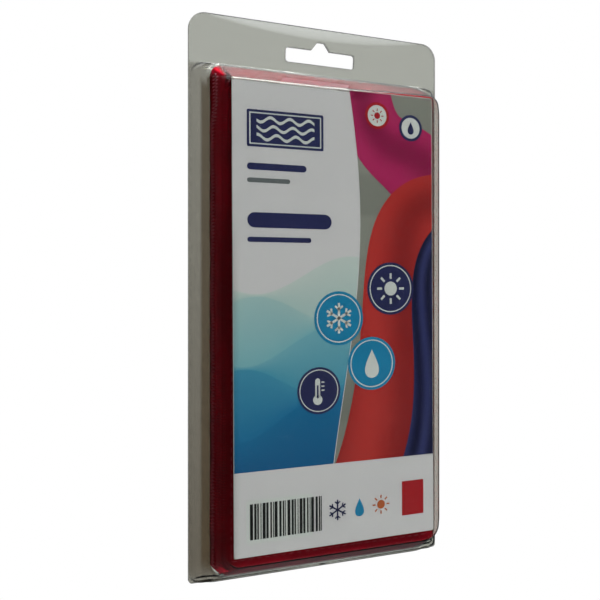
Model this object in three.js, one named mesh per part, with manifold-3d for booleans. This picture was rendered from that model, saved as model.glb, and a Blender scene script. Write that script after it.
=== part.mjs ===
// A fabric cooling wallet for insulin pens in its clear hang pack. Millimetres, +Z up, the front towards -Y.
// Heights run from the pack's foot and depths run forward from the plane where the two shells meet.
// At the end the whole pack is set down so that the origin is at the top of the hang slot.
import * as THREE from 'three';
import { mergeVertices } from 'three/addons/utils/BufferGeometryUtils.js';
import Module from 'manifold-3d';

const wasm = await Module();
wasm.setup();

// Pack outline
const PACK_WIDTH = 115.5;
const PACK_HEIGHT = 232;
const SHEET = 0.5; // wall of the formed sheet
const SHELL_GAP = 0.3; // air between the two flanges
const HEADER_HEIGHT = 20.6; // from the top of the tray to the top of the pack
const HEADER_CORNER = 7;
const FOOT_CORNER = 1.5;

// Fold at the foot that joins the shells
const FOLD_RADIUS = 0.35;
const FOLD_CLEARANCE = 0.25;
const FOLD_END = 4; // the fold stops this far from each side
const FOLD_SIDES = 12;

// Tray of the front shell
const TRAY_DEPTH = 19.6;
const RIM_RISE = 3;
const RIM_INSET = 0.8; // flat lip outside the rim, at the sides
const RIM_LEAN = 0.3;
const RIM_STRIP = 3.5; // flat top of the rim, at the sides
const RIM_FOOT_STRIP = 0.8; // the same at the foot
const RIM_TOP_STRIP = 0.2; // the same under the header
const RIM_FILLET = 2.2;
const RIM_TOP_CORNER = 5.5;
const RIM_FOOT_CORNER = 2.5;
const SIDE_DRAFT = 3.8; // how far a side wall leans in over the tray's depth
const TOP_SLOPE = 8.7; // the same for the wall under the header
const FOOT_SLOPE = 9.35; // and for the wall at the foot
const TRAY_CORNER = 4;
const FACE_CORNER = 2.2;
const FACE_EDGE = 0.8; // rounding between the walls and the flat face
const PLUG_CLEARANCE = 0.4; // round the rear shell's plug inside the rim

// Hang slot
const SLOT_DROP = 6.2; // from the pack's top to the slot's peak
const SLOT_WIDTH = 32.2;
const SLOT_WING = 6.2; // height of the wings
const SLOT_WING_CORNER = 1.2;
const SLOT_HAT = 3.4; // height of the peak above the wings
const SLOT_HAT_BASE = 8.4;
const SLOT_HAT_TOP = 3.2;

// Printed matter
const CARD_WIDTH = 89.6;
const CARD_HEIGHT = 185.6;
const CARD = 0.4;
const CARD_CORNER = 1.5;
const CARD_LEAN = 0.55; // degrees that the loose card is turned in its plane
const CARD_SHIFT = -0.4; // and how far it sits off the middle
const CARD_FOOT = 3.3; // from the foot of the flat face to the card
const LEAFLET = 0.5;
const LEAFLET_MARGIN = 7; // inside the wallet's back panel
const LEAFLET_CORNER = 1;

// Layers of the wallet
const LAYER_GAP = 0.25;
const WALLET_CLEARANCE = 0.4; // to the walls of the tray
const COVER = 0.8;
const COVER_CORNER = 5;
const GUSSET = 3; // width of a gusset, seen from the front
const GUSSET_CROWN = 0.7; // how far its edges are drawn in
const GUSSET_CORNER = 1.2;
const POUCH_CLOTH = 0.4;
const LINING = 0.3;
const GEL = 1.6;
const GEL_EDGE = 0.5; // how far the edges of a channel are drawn in
const GEL_GAP = 1; // between two channels
const GEL_COUNT = 4;
const SEAM = 2.4; // width of the pouch's closed edges
const POUCH_CORNER = 2;
const MOUTH_DROP = 2; // from the flap's front crease to the mouth

// Flap and its fastener
const FLAP = 0.6;
const FLAP_LENGTH = 52;
const FLAP_MARGIN = 2.4; // inside the gussets' outer sides
const FLAP_CORNER = 0.4;
const CREASE = 0.15; // from a crease's axis to the ends of the sloping strip
const HEM = 0.9;
const HEM_HEIGHT = 3.2;
const FASTENER = 0.6;
const FASTENER_WIDTH = 68;
const FASTENER_HEIGHT = 16;
const FASTENER_DROP = 3; // from the fastener's foot to the flap's lower edge
const LABEL = 0.2;
const LABEL_WIDTH = 18;
const LABEL_HEIGHT = 12;
const LABEL_MARGIN = 8; // from the flap's lower left corner

const CORNER_STEPS = 4;
const TINY_CORNER = 0.2;

const clearSheet = { color: 0xbfc6c2, roughness: 0.08, metalness: 0, transparent: true, opacity: 0.35 };
const whiteCard = { color: 0xe9eeec, roughness: 0.5, metalness: 0 };
const redCloth = { color: 0x7a1420, roughness: 0.85, metalness: 0 };
const darkTape = { color: 0x2a2226, roughness: 0.95, metalness: 0 };
const paleCloth = { color: 0xd8d4cc, roughness: 0.9, metalness: 0 };
const gelCloth = { color: 0xc9d3d6, roughness: 0.8, metalness: 0 };

const pack = new THREE.Group();
const contents = new THREE.Group();
pack.add(contents);

function addPiece(name, geometry, finish) {
  const mesh = new THREE.Mesh(geometry, new THREE.MeshStandardMaterial(finish));
  mesh.name = name;
  contents.add(mesh);
  return mesh;
}

// A rounded rectangle that stands across the pack at one depth.
function section(depth, left, right, foot, top, footCorner, topCorner) {
  const corners = [
    [right - footCorner, foot + footCorner, footCorner, -90],
    [right - topCorner, top - topCorner, topCorner, 0],
    [left + topCorner, top - topCorner, topCorner, 90],
    [left + footCorner, foot + footCorner, footCorner, 180],
  ];
  const points = [];
  for (const [x, z, radius, start] of corners) {
    for (let step = 0; step <= CORNER_STEPS; step += 1) {
      const angle = THREE.MathUtils.degToRad(start + (90 * step) / CORNER_STEPS);
      points.push(new THREE.Vector3(x + radius * Math.cos(angle), -depth, z + radius * Math.sin(angle)));
    }
  }
  return points;
}

// The same with equal halves to the left and right.
function evenSection(depth, half, foot, top, footCorner, topCorner) {
  return section(depth, -half, half, foot, top, footCorner, topCorner);
}

// A closed skin through a run of sections. A run that goes forward and then back again makes a shell.
function loft(sections) {
  const count = sections[0].length;
  const index = [];
  for (let row = 0; row + 1 < sections.length; row += 1) {
    for (let column = 0; column < count; column += 1) {
      const a = row * count + column;
      const b = row * count + ((column + 1) % count);
      index.push(a, b, b + count, a, b + count, a + count);
    }
  }
  const last = (sections.length - 1) * count;
  for (let column = 1; column + 1 < count; column += 1) {
    index.push(0, column + 1, column, last, last + column, last + column + 1);
  }
  const geometry = new THREE.BufferGeometry().setFromPoints(sections.flat());
  geometry.setIndex(index);
  if (signedVolume(geometry) < 0) geometry.setIndex(index.reverse());
  geometry.computeVertexNormals();
  return geometry;
}

function signedVolume(geometry) {
  const position = geometry.getAttribute('position');
  const corner = (slot) => new THREE.Vector3().fromBufferAttribute(position, geometry.index.getX(slot));
  let volume = 0;
  for (let slot = 0; slot < geometry.index.count; slot += 3) {
    volume += corner(slot).dot(corner(slot + 1).cross(corner(slot + 2))) / 6;
  }
  return volume;
}

function toSolid(geometry) {
  const bare = geometry.clone();
  bare.deleteAttribute('normal');
  bare.deleteAttribute('uv');
  const merged = mergeVertices(bare, 1e-4);
  const vertProperties = new Float32Array(merged.getAttribute('position').array);
  const triVerts = new Uint32Array(merged.index.array);
  return new wasm.Manifold(new wasm.Mesh({ numProp: 3, vertProperties, triVerts }));
}

function toGeometry(solid) {
  const mesh = solid.getMesh();
  const geometry = new THREE.BufferGeometry();
  geometry.setAttribute('position', new THREE.BufferAttribute(mesh.vertProperties, 3));
  geometry.setIndex(new THREE.BufferAttribute(mesh.triVerts, 1));
  geometry.computeVertexNormals();
  return geometry;
}

// A plain slab of cloth, card or tape between two depths.
function slab(rear, front, left, right, foot, top, corner = TINY_CORNER) {
  return loft([
    section(front, left, right, foot, top, corner, corner),
    section(rear, left, right, foot, top, corner, corner),
  ]);
}

// Shape of the tray: each wall leans in from the rim to the face
const packHalf = PACK_WIDTH / 2;
const packFoot = 2 * FOLD_RADIUS + FOLD_CLEARANCE;
const rimHalf = packHalf - RIM_INSET;
const rimFoot = packFoot + RIM_INSET / 2;
const rimTop = PACK_HEIGHT - HEADER_HEIGHT;
const trayHalf = rimHalf - RIM_LEAN - RIM_STRIP - RIM_FILLET;
const trayFoot = rimFoot + RIM_LEAN + RIM_FOOT_STRIP;
const trayTop = rimTop - RIM_LEAN - RIM_TOP_STRIP;
const wallRun = TRAY_DEPTH - RIM_RISE;

function lean(depth) {
  return (depth - RIM_RISE) / wallRun;
}
function wallHalf(depth) {
  return trayHalf - SIDE_DRAFT * lean(depth);
}
function wallFoot(depth) {
  return trayFoot + FOOT_SLOPE * lean(depth);
}
function wallTop(depth) {
  return trayTop - TOP_SLOPE * lean(depth);
}

// One section of the tray's walls, drawn in by the given amount.
function traySection(depth, inset, corner) {
  const half = wallHalf(depth) - inset;
  return evenSection(depth, half, wallFoot(depth) + inset, wallTop(depth) - inset, corner, corner);
}

// One section of the rim, at a step of its strip from the lip to the tray's mouth.
function rimSection(depth, inset, footInset, topInset, shrink) {
  return evenSection(
    depth,
    rimHalf - inset,
    rimFoot + footInset,
    rimTop - topInset,
    RIM_FOOT_CORNER - shrink,
    RIM_TOP_CORNER - shrink,
  );
}

// Hang slot through both headers
const slotPeak = PACK_HEIGHT - SLOT_DROP;
const slotWingTop = slotPeak - SLOT_HAT;
const slotFoot = slotWingTop - SLOT_WING;

function slotCutter() {
  const half = SLOT_WIDTH / 2;
  const r = SLOT_WING_CORNER;
  const outline = new THREE.Shape();
  outline.moveTo(-half + r, slotFoot);
  outline.lineTo(half - r, slotFoot);
  outline.quadraticCurveTo(half, slotFoot, half, slotFoot + r);
  outline.lineTo(half, slotWingTop - r);
  outline.quadraticCurveTo(half, slotWingTop, half - r, slotWingTop);
  outline.lineTo(SLOT_HAT_BASE / 2, slotWingTop);
  outline.lineTo(SLOT_HAT_TOP / 2, slotPeak);
  outline.lineTo(-SLOT_HAT_TOP / 2, slotPeak);
  outline.lineTo(-SLOT_HAT_BASE / 2, slotWingTop);
  outline.lineTo(-half + r, slotWingTop);
  outline.quadraticCurveTo(-half, slotWingTop, -half, slotWingTop - r);
  outline.lineTo(-half, slotFoot + r);
  outline.quadraticCurveTo(-half, slotFoot, -half + r, slotFoot);
  const depth = 2 * (2 * SHEET + SHELL_GAP);
  const settings = { depth, bevelEnabled: false, curveSegments: CORNER_STEPS };
  const cutter = new THREE.ExtrudeGeometry(outline, settings);
  cutter.rotateX(Math.PI / 2);
  cutter.translate(0, depth / 2, 0);
  return cutter;
}

function cutSlot(geometry) {
  return toGeometry(toSolid(geometry).subtract(toSolid(slotCutter())));
}

function flangeSection(depth) {
  return evenSection(depth, packHalf, packFoot, PACK_HEIGHT, FOOT_CORNER, HEADER_CORNER);
}

// Front shell: flat face, sloping walls, fillet, rim and flange, then the same skin back inside
const filletEnd = RIM_RISE + RIM_FILLET;
const filletMiddle = RIM_RISE + RIM_FILLET / 4;
const faceTurn = TRAY_DEPTH - FACE_EDGE;
const stripInset = RIM_LEAN + RIM_STRIP;
const stripFootInset = RIM_LEAN + RIM_FOOT_STRIP;
const stripTopInset = RIM_LEAN + RIM_TOP_STRIP;

function filletSection(depth, inset) {
  const half = wallHalf(depth) + RIM_FILLET / 4 - inset;
  return evenSection(depth, half, wallFoot(depth) + inset, wallTop(depth) - inset, TRAY_CORNER, TRAY_CORNER);
}

const frontShell = loft([
  traySection(TRAY_DEPTH, FACE_EDGE, FACE_CORNER - FACE_EDGE / 2),
  traySection(TRAY_DEPTH - FACE_EDGE / 4, FACE_EDGE / 4, FACE_CORNER),
  traySection(faceTurn, 0, FACE_CORNER),
  traySection(filletEnd, 0, TRAY_CORNER),
  filletSection(filletMiddle, 0),
  rimSection(RIM_RISE, stripInset, stripFootInset, stripTopInset, 0),
  rimSection(RIM_RISE, RIM_LEAN, RIM_LEAN, RIM_LEAN, 0),
  rimSection(SHEET, 0, 0, 0, 0),
  flangeSection(SHEET),
  flangeSection(0),
  rimSection(0, SHEET, SHEET, SHEET, SHEET),
  rimSection(RIM_RISE - SHEET, RIM_LEAN + SHEET, RIM_LEAN + SHEET, RIM_LEAN + SHEET, SHEET),
  rimSection(RIM_RISE - SHEET, stripInset + SHEET, stripFootInset + SHEET, stripTopInset + SHEET, SHEET),
  filletSection(filletMiddle - SHEET / 2, SHEET),
  traySection(filletEnd, SHEET, TRAY_CORNER - SHEET / 2),
  traySection(faceTurn - SHEET / 2, SHEET, FACE_CORNER - SHEET / 2),
  traySection(TRAY_DEPTH - SHEET, FACE_EDGE, FACE_CORNER - FACE_EDGE / 2),
]);
addPiece('front_shell', cutSlot(frontShell), clearSheet);

// Rear shell: a shallow plug that sits inside the rim, on its own flange
const rearFront = -SHELL_GAP;
const rearBack = rearFront - SHEET;
const plugInset = SHEET + PLUG_CLEARANCE;
const plugFace = RIM_RISE - SHEET - SHELL_GAP;

function plugSection(depth, inset) {
  return rimSection(depth, inset, inset, inset, plugInset);
}

const rearShell = loft([
  plugSection(plugFace, plugInset + RIM_LEAN),
  plugSection(rearFront, plugInset),
  flangeSection(rearFront),
  flangeSection(rearBack),
  plugSection(rearBack, plugInset + SHEET),
  plugSection(plugFace - SHEET, plugInset + RIM_LEAN + SHEET),
]);
addPiece('rear_shell', cutSlot(rearShell), clearSheet);

// Fold: the thin strip at the foot about which the front shell opens
const foldLength = PACK_WIDTH - 2 * FOLD_END;
const fold = addPiece(
  'fold_hinge',
  new THREE.CylinderGeometry(FOLD_RADIUS, FOLD_RADIUS, foldLength, FOLD_SIDES),
  clearSheet,
);
fold.rotation.z = Math.PI / 2;
fold.position.set(0, SHELL_GAP / 2, FOLD_RADIUS);

// Insert card: loose behind the flat face, a little turned
const cardFront = TRAY_DEPTH - SHEET - LAYER_GAP;
const cardRear = cardFront - CARD;
const cardMiddle = wallFoot(TRAY_DEPTH) + CARD_FOOT + CARD_HEIGHT / 2;
const cardSlab = slab(
  cardRear,
  cardFront,
  -CARD_WIDTH / 2,
  CARD_WIDTH / 2,
  -CARD_HEIGHT / 2,
  CARD_HEIGHT / 2,
  CARD_CORNER,
);
const card = addPiece('insert_card', cardSlab, whiteCard);
card.rotation.y = -THREE.MathUtils.degToRad(CARD_LEAN);
card.position.set(CARD_SHIFT, 0, cardMiddle);

// Depths of the wallet's layers, from the rear shell forward and from the card back.
// What is left between the two linings is the pocket for the pens.
const leafletRear = plugFace + LAYER_GAP;
const leafletFront = leafletRear + LEAFLET;
const coverBackRear = leafletFront + LAYER_GAP;
const coverBackFront = coverBackRear + COVER;
const pouchBackRear = coverBackFront + LAYER_GAP;
const pouchBackFront = pouchBackRear + POUCH_CLOTH;
const gelBackRear = pouchBackFront + LAYER_GAP;
const gelBackFront = gelBackRear + GEL;
const liningBackRear = gelBackFront + LAYER_GAP;
const liningBackFront = liningBackRear + LINING;

const labelFront = cardRear - LAYER_GAP;
const labelRear = labelFront - LABEL;
const flapFront = labelRear - LAYER_GAP;
const flapRear = flapFront - FLAP;
const hookFront = flapRear - LAYER_GAP;
const hookRear = hookFront - FASTENER;
const loopFront = hookRear - LAYER_GAP;
const loopRear = loopFront - FASTENER;
const coverFrontFront = loopRear - LAYER_GAP;
const coverFrontRear = coverFrontFront - COVER;
const pouchFrontFront = coverFrontRear - LAYER_GAP;
const pouchFrontRear = pouchFrontFront - POUCH_CLOTH;
const gelFrontFront = pouchFrontRear - LAYER_GAP;
const gelFrontRear = gelFrontFront - GEL;
const liningFrontFront = gelFrontRear - LAYER_GAP;
const liningFrontRear = liningFrontFront - LINING;

// Room for the wallet inside the tray's walls
const walletInset = SHEET + WALLET_CLEARANCE;
function walletHalf(depth) {
  return wallHalf(depth) - walletInset;
}
function walletFoot(depth) {
  return wallFoot(depth) + walletInset;
}
function walletTop(depth) {
  return wallTop(depth) - walletInset;
}

// Leaflet between the rear shell and the wallet
const leafletHalf = walletHalf(coverBackFront) - LEAFLET_MARGIN;
const leafletFoot = walletFoot(coverFrontFront) + LEAFLET_MARGIN;
const leafletTop = walletTop(coverFrontFront) - LEAFLET_MARGIN;
addPiece(
  'instruction_leaflet',
  slab(leafletRear, leafletFront, -leafletHalf, leafletHalf, leafletFoot, leafletTop, LEAFLET_CORNER),
  whiteCard,
);

// Creases of the flap, at the top of the back panel and at the top front edge
const flapMiddle = (flapFront + flapRear) / 2;
const coverBackMiddle = (coverBackRear + coverBackFront) / 2;
const backCrease = { depth: coverBackMiddle, height: walletTop(coverBackFront) - FLAP };
const frontCrease = { depth: flapMiddle, height: walletTop(flapFront) - FLAP };
const mouth = frontCrease.height - MOUTH_DROP;
const creaseWay = new THREE.Vector2(
  frontCrease.depth - backCrease.depth,
  frontCrease.height - backCrease.height,
).normalize();
const spineRise = FLAP / (2 * creaseWay.x);

// Height of the underside of the flap's sloping strip.
function spineUnder(depth) {
  return backCrease.height + (depth - backCrease.depth) * (creaseWay.y / creaseWay.x) - spineRise;
}

// Outer cover: two panels with a gusset along each side and along the foot
const coverHalf = walletHalf(coverFrontFront);
const coverFootBack = walletFoot(coverBackFront);
const coverFootFront = walletFoot(coverFrontFront);
addPiece(
  'cover_back_panel',
  slab(
    coverBackRear,
    coverBackFront,
    -coverHalf,
    coverHalf,
    coverFootBack,
    spineUnder(coverBackFront) - LAYER_GAP,
    COVER_CORNER,
  ),
  redCloth,
);
addPiece(
  'cover_front_panel',
  slab(coverFrontRear, coverFrontFront, -coverHalf, coverHalf, coverFootFront, mouth, COVER_CORNER),
  redCloth,
);

const gussetRear = coverBackFront + LAYER_GAP;
const gussetFront = coverFrontRear - LAYER_GAP;
const gussetInside = walletHalf(gussetFront) - GUSSET;
const gussetFoot = walletFoot(gussetFront) + GUSSET + LAYER_GAP;
const gussetRun = gussetFront - gussetRear;

// A gusset is crowned: its two edges along the panels are drawn in.
const gussetSteps = [
  [0, GUSSET_CROWN],
  [0.2, GUSSET_CROWN / 4],
  [0.5, 0],
  [0.8, GUSSET_CROWN / 4],
  [1, GUSSET_CROWN],
];
function sideGusset(side) {
  const sections = gussetSteps.map(([share, drawn]) => {
    const depth = gussetRear + share * gussetRun;
    const edges = [side * gussetInside, side * (walletHalf(depth) - drawn)].sort((a, b) => a - b);
    return section(depth, edges[0], edges[1], gussetFoot, mouth, GUSSET_CORNER, GUSSET_CORNER);
  });
  return loft(sections);
}
function footGusset() {
  const sections = gussetSteps.map(([share, drawn]) => {
    const depth = gussetRear + share * gussetRun;
    const foot = walletFoot(depth) + drawn;
    return evenSection(depth, coverHalf - drawn, foot, gussetFoot - LAYER_GAP, GUSSET_CORNER, GUSSET_CORNER);
  });
  return loft(sections);
}
addPiece('left_gusset', sideGusset(-1), redCloth);
addPiece('right_gusset', sideGusset(1), redCloth);
addPiece('bottom_gusset', footGusset(), redCloth);

// Inner pouch: a quilted wall at the back and at the front, closed along the sides and the foot
const pouchHalf = gussetInside - LAYER_GAP;
const pouchFoot = gussetFoot;
function pouchLayer(name, rear, front, finish) {
  addPiece(name, slab(rear, front, -pouchHalf, pouchHalf, pouchFoot, mouth, POUCH_CORNER), finish);
}
pouchLayer('pouch_back_panel', pouchBackRear, pouchBackFront, paleCloth);
pouchLayer('pouch_back_lining', liningBackRear, liningBackFront, paleCloth);
pouchLayer('pouch_front_lining', liningFrontRear, liningFrontFront, paleCloth);
pouchLayer('pouch_front_panel', pouchFrontRear, pouchFrontFront, paleCloth);

const seamRear = liningBackFront + LAYER_GAP;
const seamFront = liningFrontRear - LAYER_GAP;
const seamTop = pouchFoot + SEAM;
const seamSide = pouchHalf - SEAM;
const sideSeamFoot = seamTop + LAYER_GAP;
function pouchSeam(name, left, right, foot, top) {
  addPiece(name, slab(seamRear, seamFront, left, right, foot, top), paleCloth);
}
pouchSeam('pouch_bottom_seam', -pouchHalf, pouchHalf, pouchFoot, seamTop);
pouchSeam('pouch_left_seam', -pouchHalf, -seamSide, sideSeamFoot, mouth);
pouchSeam('pouch_right_seam', seamSide, pouchHalf, sideSeamFoot, mouth);

// Channels of water-absorbing crystals, quilted into each wall of the pouch
const gelPitch = (2 * pouchHalf) / GEL_COUNT;
function gelPad(rear, front, left) {
  const right = left + gelPitch - GEL_GAP;
  const foot = pouchFoot + GEL_GAP;
  const top = mouth - GEL_GAP;
  const steps = [
    [rear, GEL_EDGE],
    [(3 * rear + front) / 4, 0],
    [(rear + 3 * front) / 4, 0],
    [front, GEL_EDGE],
  ];
  return loft(
    steps.map(([depth, drawn]) =>
      section(depth, left + drawn, right - drawn, foot + drawn, top - drawn, POUCH_CORNER, POUCH_CORNER),
    ),
  );
}
for (let column = 0; column < GEL_COUNT; column += 1) {
  const left = -pouchHalf + column * gelPitch + GEL_GAP / 2;
  addPiece(`back_gel_pad_${column + 1}`, gelPad(gelBackRear, gelBackFront, left), gelCloth);
  addPiece(`front_gel_pad_${column + 1}`, gelPad(gelFrontRear, gelFrontFront, left), gelCloth);
}

// Flap: a sloping strip over the mouth, and a panel that hangs down the front
const flapHalf = coverHalf - FLAP_MARGIN;
function flapSpine() {
  const start = new THREE.Vector2(backCrease.depth, backCrease.height).addScaledVector(creaseWay, CREASE);
  const end = new THREE.Vector2(frontCrease.depth, frontCrease.height).addScaledVector(creaseWay, -CREASE);
  const strip = ({ x, y }) =>
    evenSection(x, flapHalf, y - spineRise, y + spineRise, TINY_CORNER, TINY_CORNER);
  return loft([strip(start), strip(end)]);
}
addPiece('flap_spine', flapSpine(), redCloth);

const flapTop = frontCrease.height - FLAP / 2 - LAYER_GAP;
const flapFoot = flapTop - FLAP_LENGTH;
addPiece(
  'flap_panel',
  slab(flapRear, flapFront, -flapHalf, flapHalf, flapFoot, flapTop, FLAP_CORNER),
  redCloth,
);
const hemTop = flapFoot - LAYER_GAP;
addPiece(
  'flap_hem',
  slab(flapMiddle - HEM / 2, flapMiddle + HEM / 2, -flapHalf, flapHalf, hemTop - HEM_HEIGHT, hemTop),
  redCloth,
);

// Touch fastener between the flap and the front panel
const fastenerHalf = FASTENER_WIDTH / 2;
const fastenerFoot = flapFoot + FASTENER_DROP;
const fastenerTop = fastenerFoot + FASTENER_HEIGHT;
function fastenerStrip(name, rear, front) {
  const tape = slab(rear, front, -fastenerHalf, fastenerHalf, fastenerFoot, fastenerTop, FLAP_CORNER);
  addPiece(name, tape, darkTape);
}
fastenerStrip('hook_strip', hookRear, hookFront);
fastenerStrip('loop_strip', loopRear, loopFront);

// Blank woven label near the flap's lower left corner
const labelLeft = -flapHalf + LABEL_MARGIN;
const labelFoot = flapFoot + LABEL_MARGIN;
addPiece(
  'woven_label',
  slab(labelRear, labelFront, labelLeft, labelLeft + LABEL_WIDTH, labelFoot, labelFoot + LABEL_HEIGHT),
  whiteCard,
);

contents.position.z = -slotPeak;

export default pack;
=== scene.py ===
import math

import bmesh
import bpy
from mathutils import Matrix, Vector, noise


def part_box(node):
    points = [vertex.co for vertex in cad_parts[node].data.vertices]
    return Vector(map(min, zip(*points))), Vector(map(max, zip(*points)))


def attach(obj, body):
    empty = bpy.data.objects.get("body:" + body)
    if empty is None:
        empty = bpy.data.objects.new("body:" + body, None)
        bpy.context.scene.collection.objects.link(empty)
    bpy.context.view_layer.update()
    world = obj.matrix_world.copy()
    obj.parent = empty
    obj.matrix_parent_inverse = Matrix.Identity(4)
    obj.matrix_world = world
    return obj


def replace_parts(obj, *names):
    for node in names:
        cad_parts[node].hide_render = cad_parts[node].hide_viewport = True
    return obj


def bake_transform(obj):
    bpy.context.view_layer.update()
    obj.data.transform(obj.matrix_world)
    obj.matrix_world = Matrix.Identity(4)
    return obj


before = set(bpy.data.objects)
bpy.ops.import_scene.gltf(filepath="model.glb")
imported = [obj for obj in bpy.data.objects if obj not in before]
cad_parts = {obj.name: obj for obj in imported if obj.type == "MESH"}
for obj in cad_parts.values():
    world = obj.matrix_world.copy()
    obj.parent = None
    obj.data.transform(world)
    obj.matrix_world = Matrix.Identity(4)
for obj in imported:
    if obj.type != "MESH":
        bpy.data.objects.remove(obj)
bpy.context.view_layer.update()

# Studio. The pack hangs by its slot before white paper, high above a pale floor, under soft lamps.
# The lens and the clear sheet see the white paper; low mirrored rays meet the dark end of the room,
# which keeps the side walls deep in colour.
scene = bpy.context.scene
scene.view_settings.view_transform = "Standard"

lens = bpy.data.cameras.new("camera")
lens.sensor_width = 36
lens.lens = 43.53
lens.shift_y = -0.0163
camera = bpy.data.objects.new("camera", lens)
camera.location = (-0.1253, -0.2879, -0.1066)
camera.rotation_euler = (math.radians(90), 0, math.radians(-21.96))
scene.collection.objects.link(camera)
scene.camera = camera


def lay(tree, kind, inputs=None, **settings):
    """One shader node, with its inputs given as values or as sockets to join."""
    node = tree.nodes.new(kind)
    for name, value in settings.items():
        setattr(node, name, value)
    for name, value in (inputs or {}).items():
        if isinstance(value, bpy.types.NodeSocket):
            tree.links.new(value, node.inputs[name])
        else:
            node.inputs[name].default_value = value
    return node


def reckon(tree, operation, *values):
    """The result of one sum on numbers or sockets."""
    return lay(tree, "ShaderNodeMath", dict(enumerate(values)), operation=operation).outputs[0]


def spread(tree, value, low, high, bottom=0.0, top=1.0):
    """A value's range moved to another, with soft ends."""
    inputs = {"Value": value, "From Min": low, "From Max": high, "To Min": bottom, "To Max": top}
    return lay(tree, "ShaderNodeMapRange", inputs, interpolation_type="SMOOTHSTEP").outputs[0]


def sheet_rays(tree):
    """The kinds of ray, and masks for those that bounced inside the sheet and those that see the paper."""
    ray = lay(tree, "ShaderNodeLightPath").outputs
    bounced = reckon(tree, "GREATER_THAN", ray["Glossy Depth"], 0.5)
    from_inside = reckon(tree, "MULTIPLY", ray["Is Transmission Ray"], bounced)
    straight = reckon(tree, "SUBTRACT", ray["Is Transmission Ray"], from_inside)
    return ray, from_inside, reckon(tree, "MAXIMUM", ray["Is Camera Ray"], straight)


studio_room = bpy.data.worlds.new("studio_room")
studio_room.use_nodes = True
room = studio_room.node_tree
room.nodes.clear()
scene.world = studio_room
ray, from_inside, seen = sheet_rays(room)
way = lay(room, "ShaderNodeTexCoord").outputs["Generated"]
way = lay(room, "ShaderNodeSeparateXYZ", {0: way}).outputs

# What the sheet mirrors: a ceiling, dimmer where the open slot would show it, and its glow in front;
# a window at the right behind, the ground, and light that is led along inside the sheet.
ceiling = spread(room, way["Z"], 0.4, 0.6, 0, 0.34)
ceiling = reckon(room, "MULTIPLY", ceiling, spread(room, way["X"], -0.3, 0.1, 0.15, 1))
by_slot = reckon(room, "LESS_THAN", ray["Transmission Depth"], 3)
by_slot = reckon(room, "MULTIPLY", by_slot, spread(room, way["Y"], 0.3, 0.45, 0, 0.72))
ceiling = reckon(room, "MULTIPLY", ceiling, reckon(room, "SUBTRACT", 1, by_slot))
glow = spread(room, way["Z"], 0.45, 0.75, 0, 1.9)
glow = reckon(room, "MULTIPLY", glow, spread(room, way["Y"], -0.1, -0.6))
window = spread(room, way["Z"], -0.5, 0.3, 0.02, 0.36)
window = reckon(room, "MULTIPLY", window, spread(room, way["X"], 0.1, 0.45))
window = reckon(room, "MULTIPLY", window, spread(room, way["Y"], -0.3, 0.2))
ground = spread(room, way["Z"], -0.35, -0.65, 0.008, 0.05)
guided = reckon(room, "GREATER_THAN", ray["Glossy Depth"], 1.5)
guided = reckon(room, "MULTIPLY", guided, spread(room, way["X"], -0.3, 0.4, 0, 0.5))
mirrored = guided
for light in (ceiling, glow, window, ground):
    mirrored = reckon(room, "ADD", mirrored, light)
from_right = spread(room, way["X"], -0.7, 0.5, 0.06, 0.45)
soft_light = lay(room, "ShaderNodeBackground", {"Color": (0.95, 0.98, 1, 1), "Strength": from_right})
dark_end = lay(room, "ShaderNodeBackground", {"Color": (0.97, 1, 1.07, 1), "Strength": mirrored})
paper = lay(room, "ShaderNodeBackground", {"Color": (1, 1, 1, 1), "Strength": 1})
off_sheet = reckon(room, "MAXIMUM", ray["Is Glossy Ray"], from_inside)
by_mirror = lay(room, "ShaderNodeMixShader", {0: off_sheet, 1: soft_light.outputs[0], 2: dark_end.outputs[0]})
shown = lay(room, "ShaderNodeMixShader", {0: seen, 1: by_mirror.outputs[0], 2: paper.outputs[0]})
lay(room, "ShaderNodeOutputWorld", {"Surface": shown.outputs[0]})

PACK_MIDDLE = Vector((0, -0.01, -0.11))


def softbox(name, place, width, height, power, mirrored=False):
    """A soft lamp that looks at the middle of the pack, with or without its own highlights in the sheet."""
    lamp = bpy.data.lights.new(name, "AREA")
    lamp.shape = "RECTANGLE"
    lamp.size = width
    lamp.size_y = height
    lamp.energy = power
    stand = bpy.data.objects.new(name, lamp)
    stand.location = place
    stand.rotation_euler = (PACK_MIDDLE - Vector(place)).to_track_quat("-Z", "Y").to_euler()
    stand.visible_camera = False
    stand.visible_glossy = False
    stand.visible_transmission = mirrored
    scene.collection.objects.link(stand)


softbox("front_softbox", (0.95, -0.85, 1.05), 1.3, 1.0, 32)
softbox("rear_softbox", (-1.25, 0.4, 0.6), 0.9, 0.9, 5)
softbox("top_softbox", (0.22, 0.15, 1.2), 0.8, 0.5, 62, True)
softbox("foot_softbox", (0.1, -0.05, -0.75), 0.6, 0.4, 2.4)

FLOOR_HALF = 4
FLOOR_LEVEL = -0.8
floor_shape = bpy.data.meshes.new("pale_floor")
floor_shape.from_pydata(
    [(x * FLOOR_HALF, y * FLOOR_HALF, FLOOR_LEVEL) for x, y in ((-1, -1), (1, -1), (1, 1), (-1, 1))],
    [],
    [(0, 1, 2, 3)],
)
floor = bpy.data.objects.new("pale_floor", floor_shape)
floor.visible_glossy = False
scene.collection.objects.link(floor)
pale_floor = bpy.data.materials.new("pale_floor")
pale_floor.use_nodes = True
pale = pale_floor.node_tree
pale.nodes.clear()
ray, from_inside, seen = sheet_rays(pale)
floor_place = lay(pale, "ShaderNodeTexCoord").outputs["Object"]
reach = lay(pale, "ShaderNodeVectorMath", {0: floor_place}, operation="LENGTH").outputs["Value"]
far_white = reckon(pale, "MULTIPLY", spread(pale, reach, 0.85, 1.15), seen)
white = lay(pale, "ShaderNodeEmission", {"Color": (1, 1, 1, 1), "Strength": 1})
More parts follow.
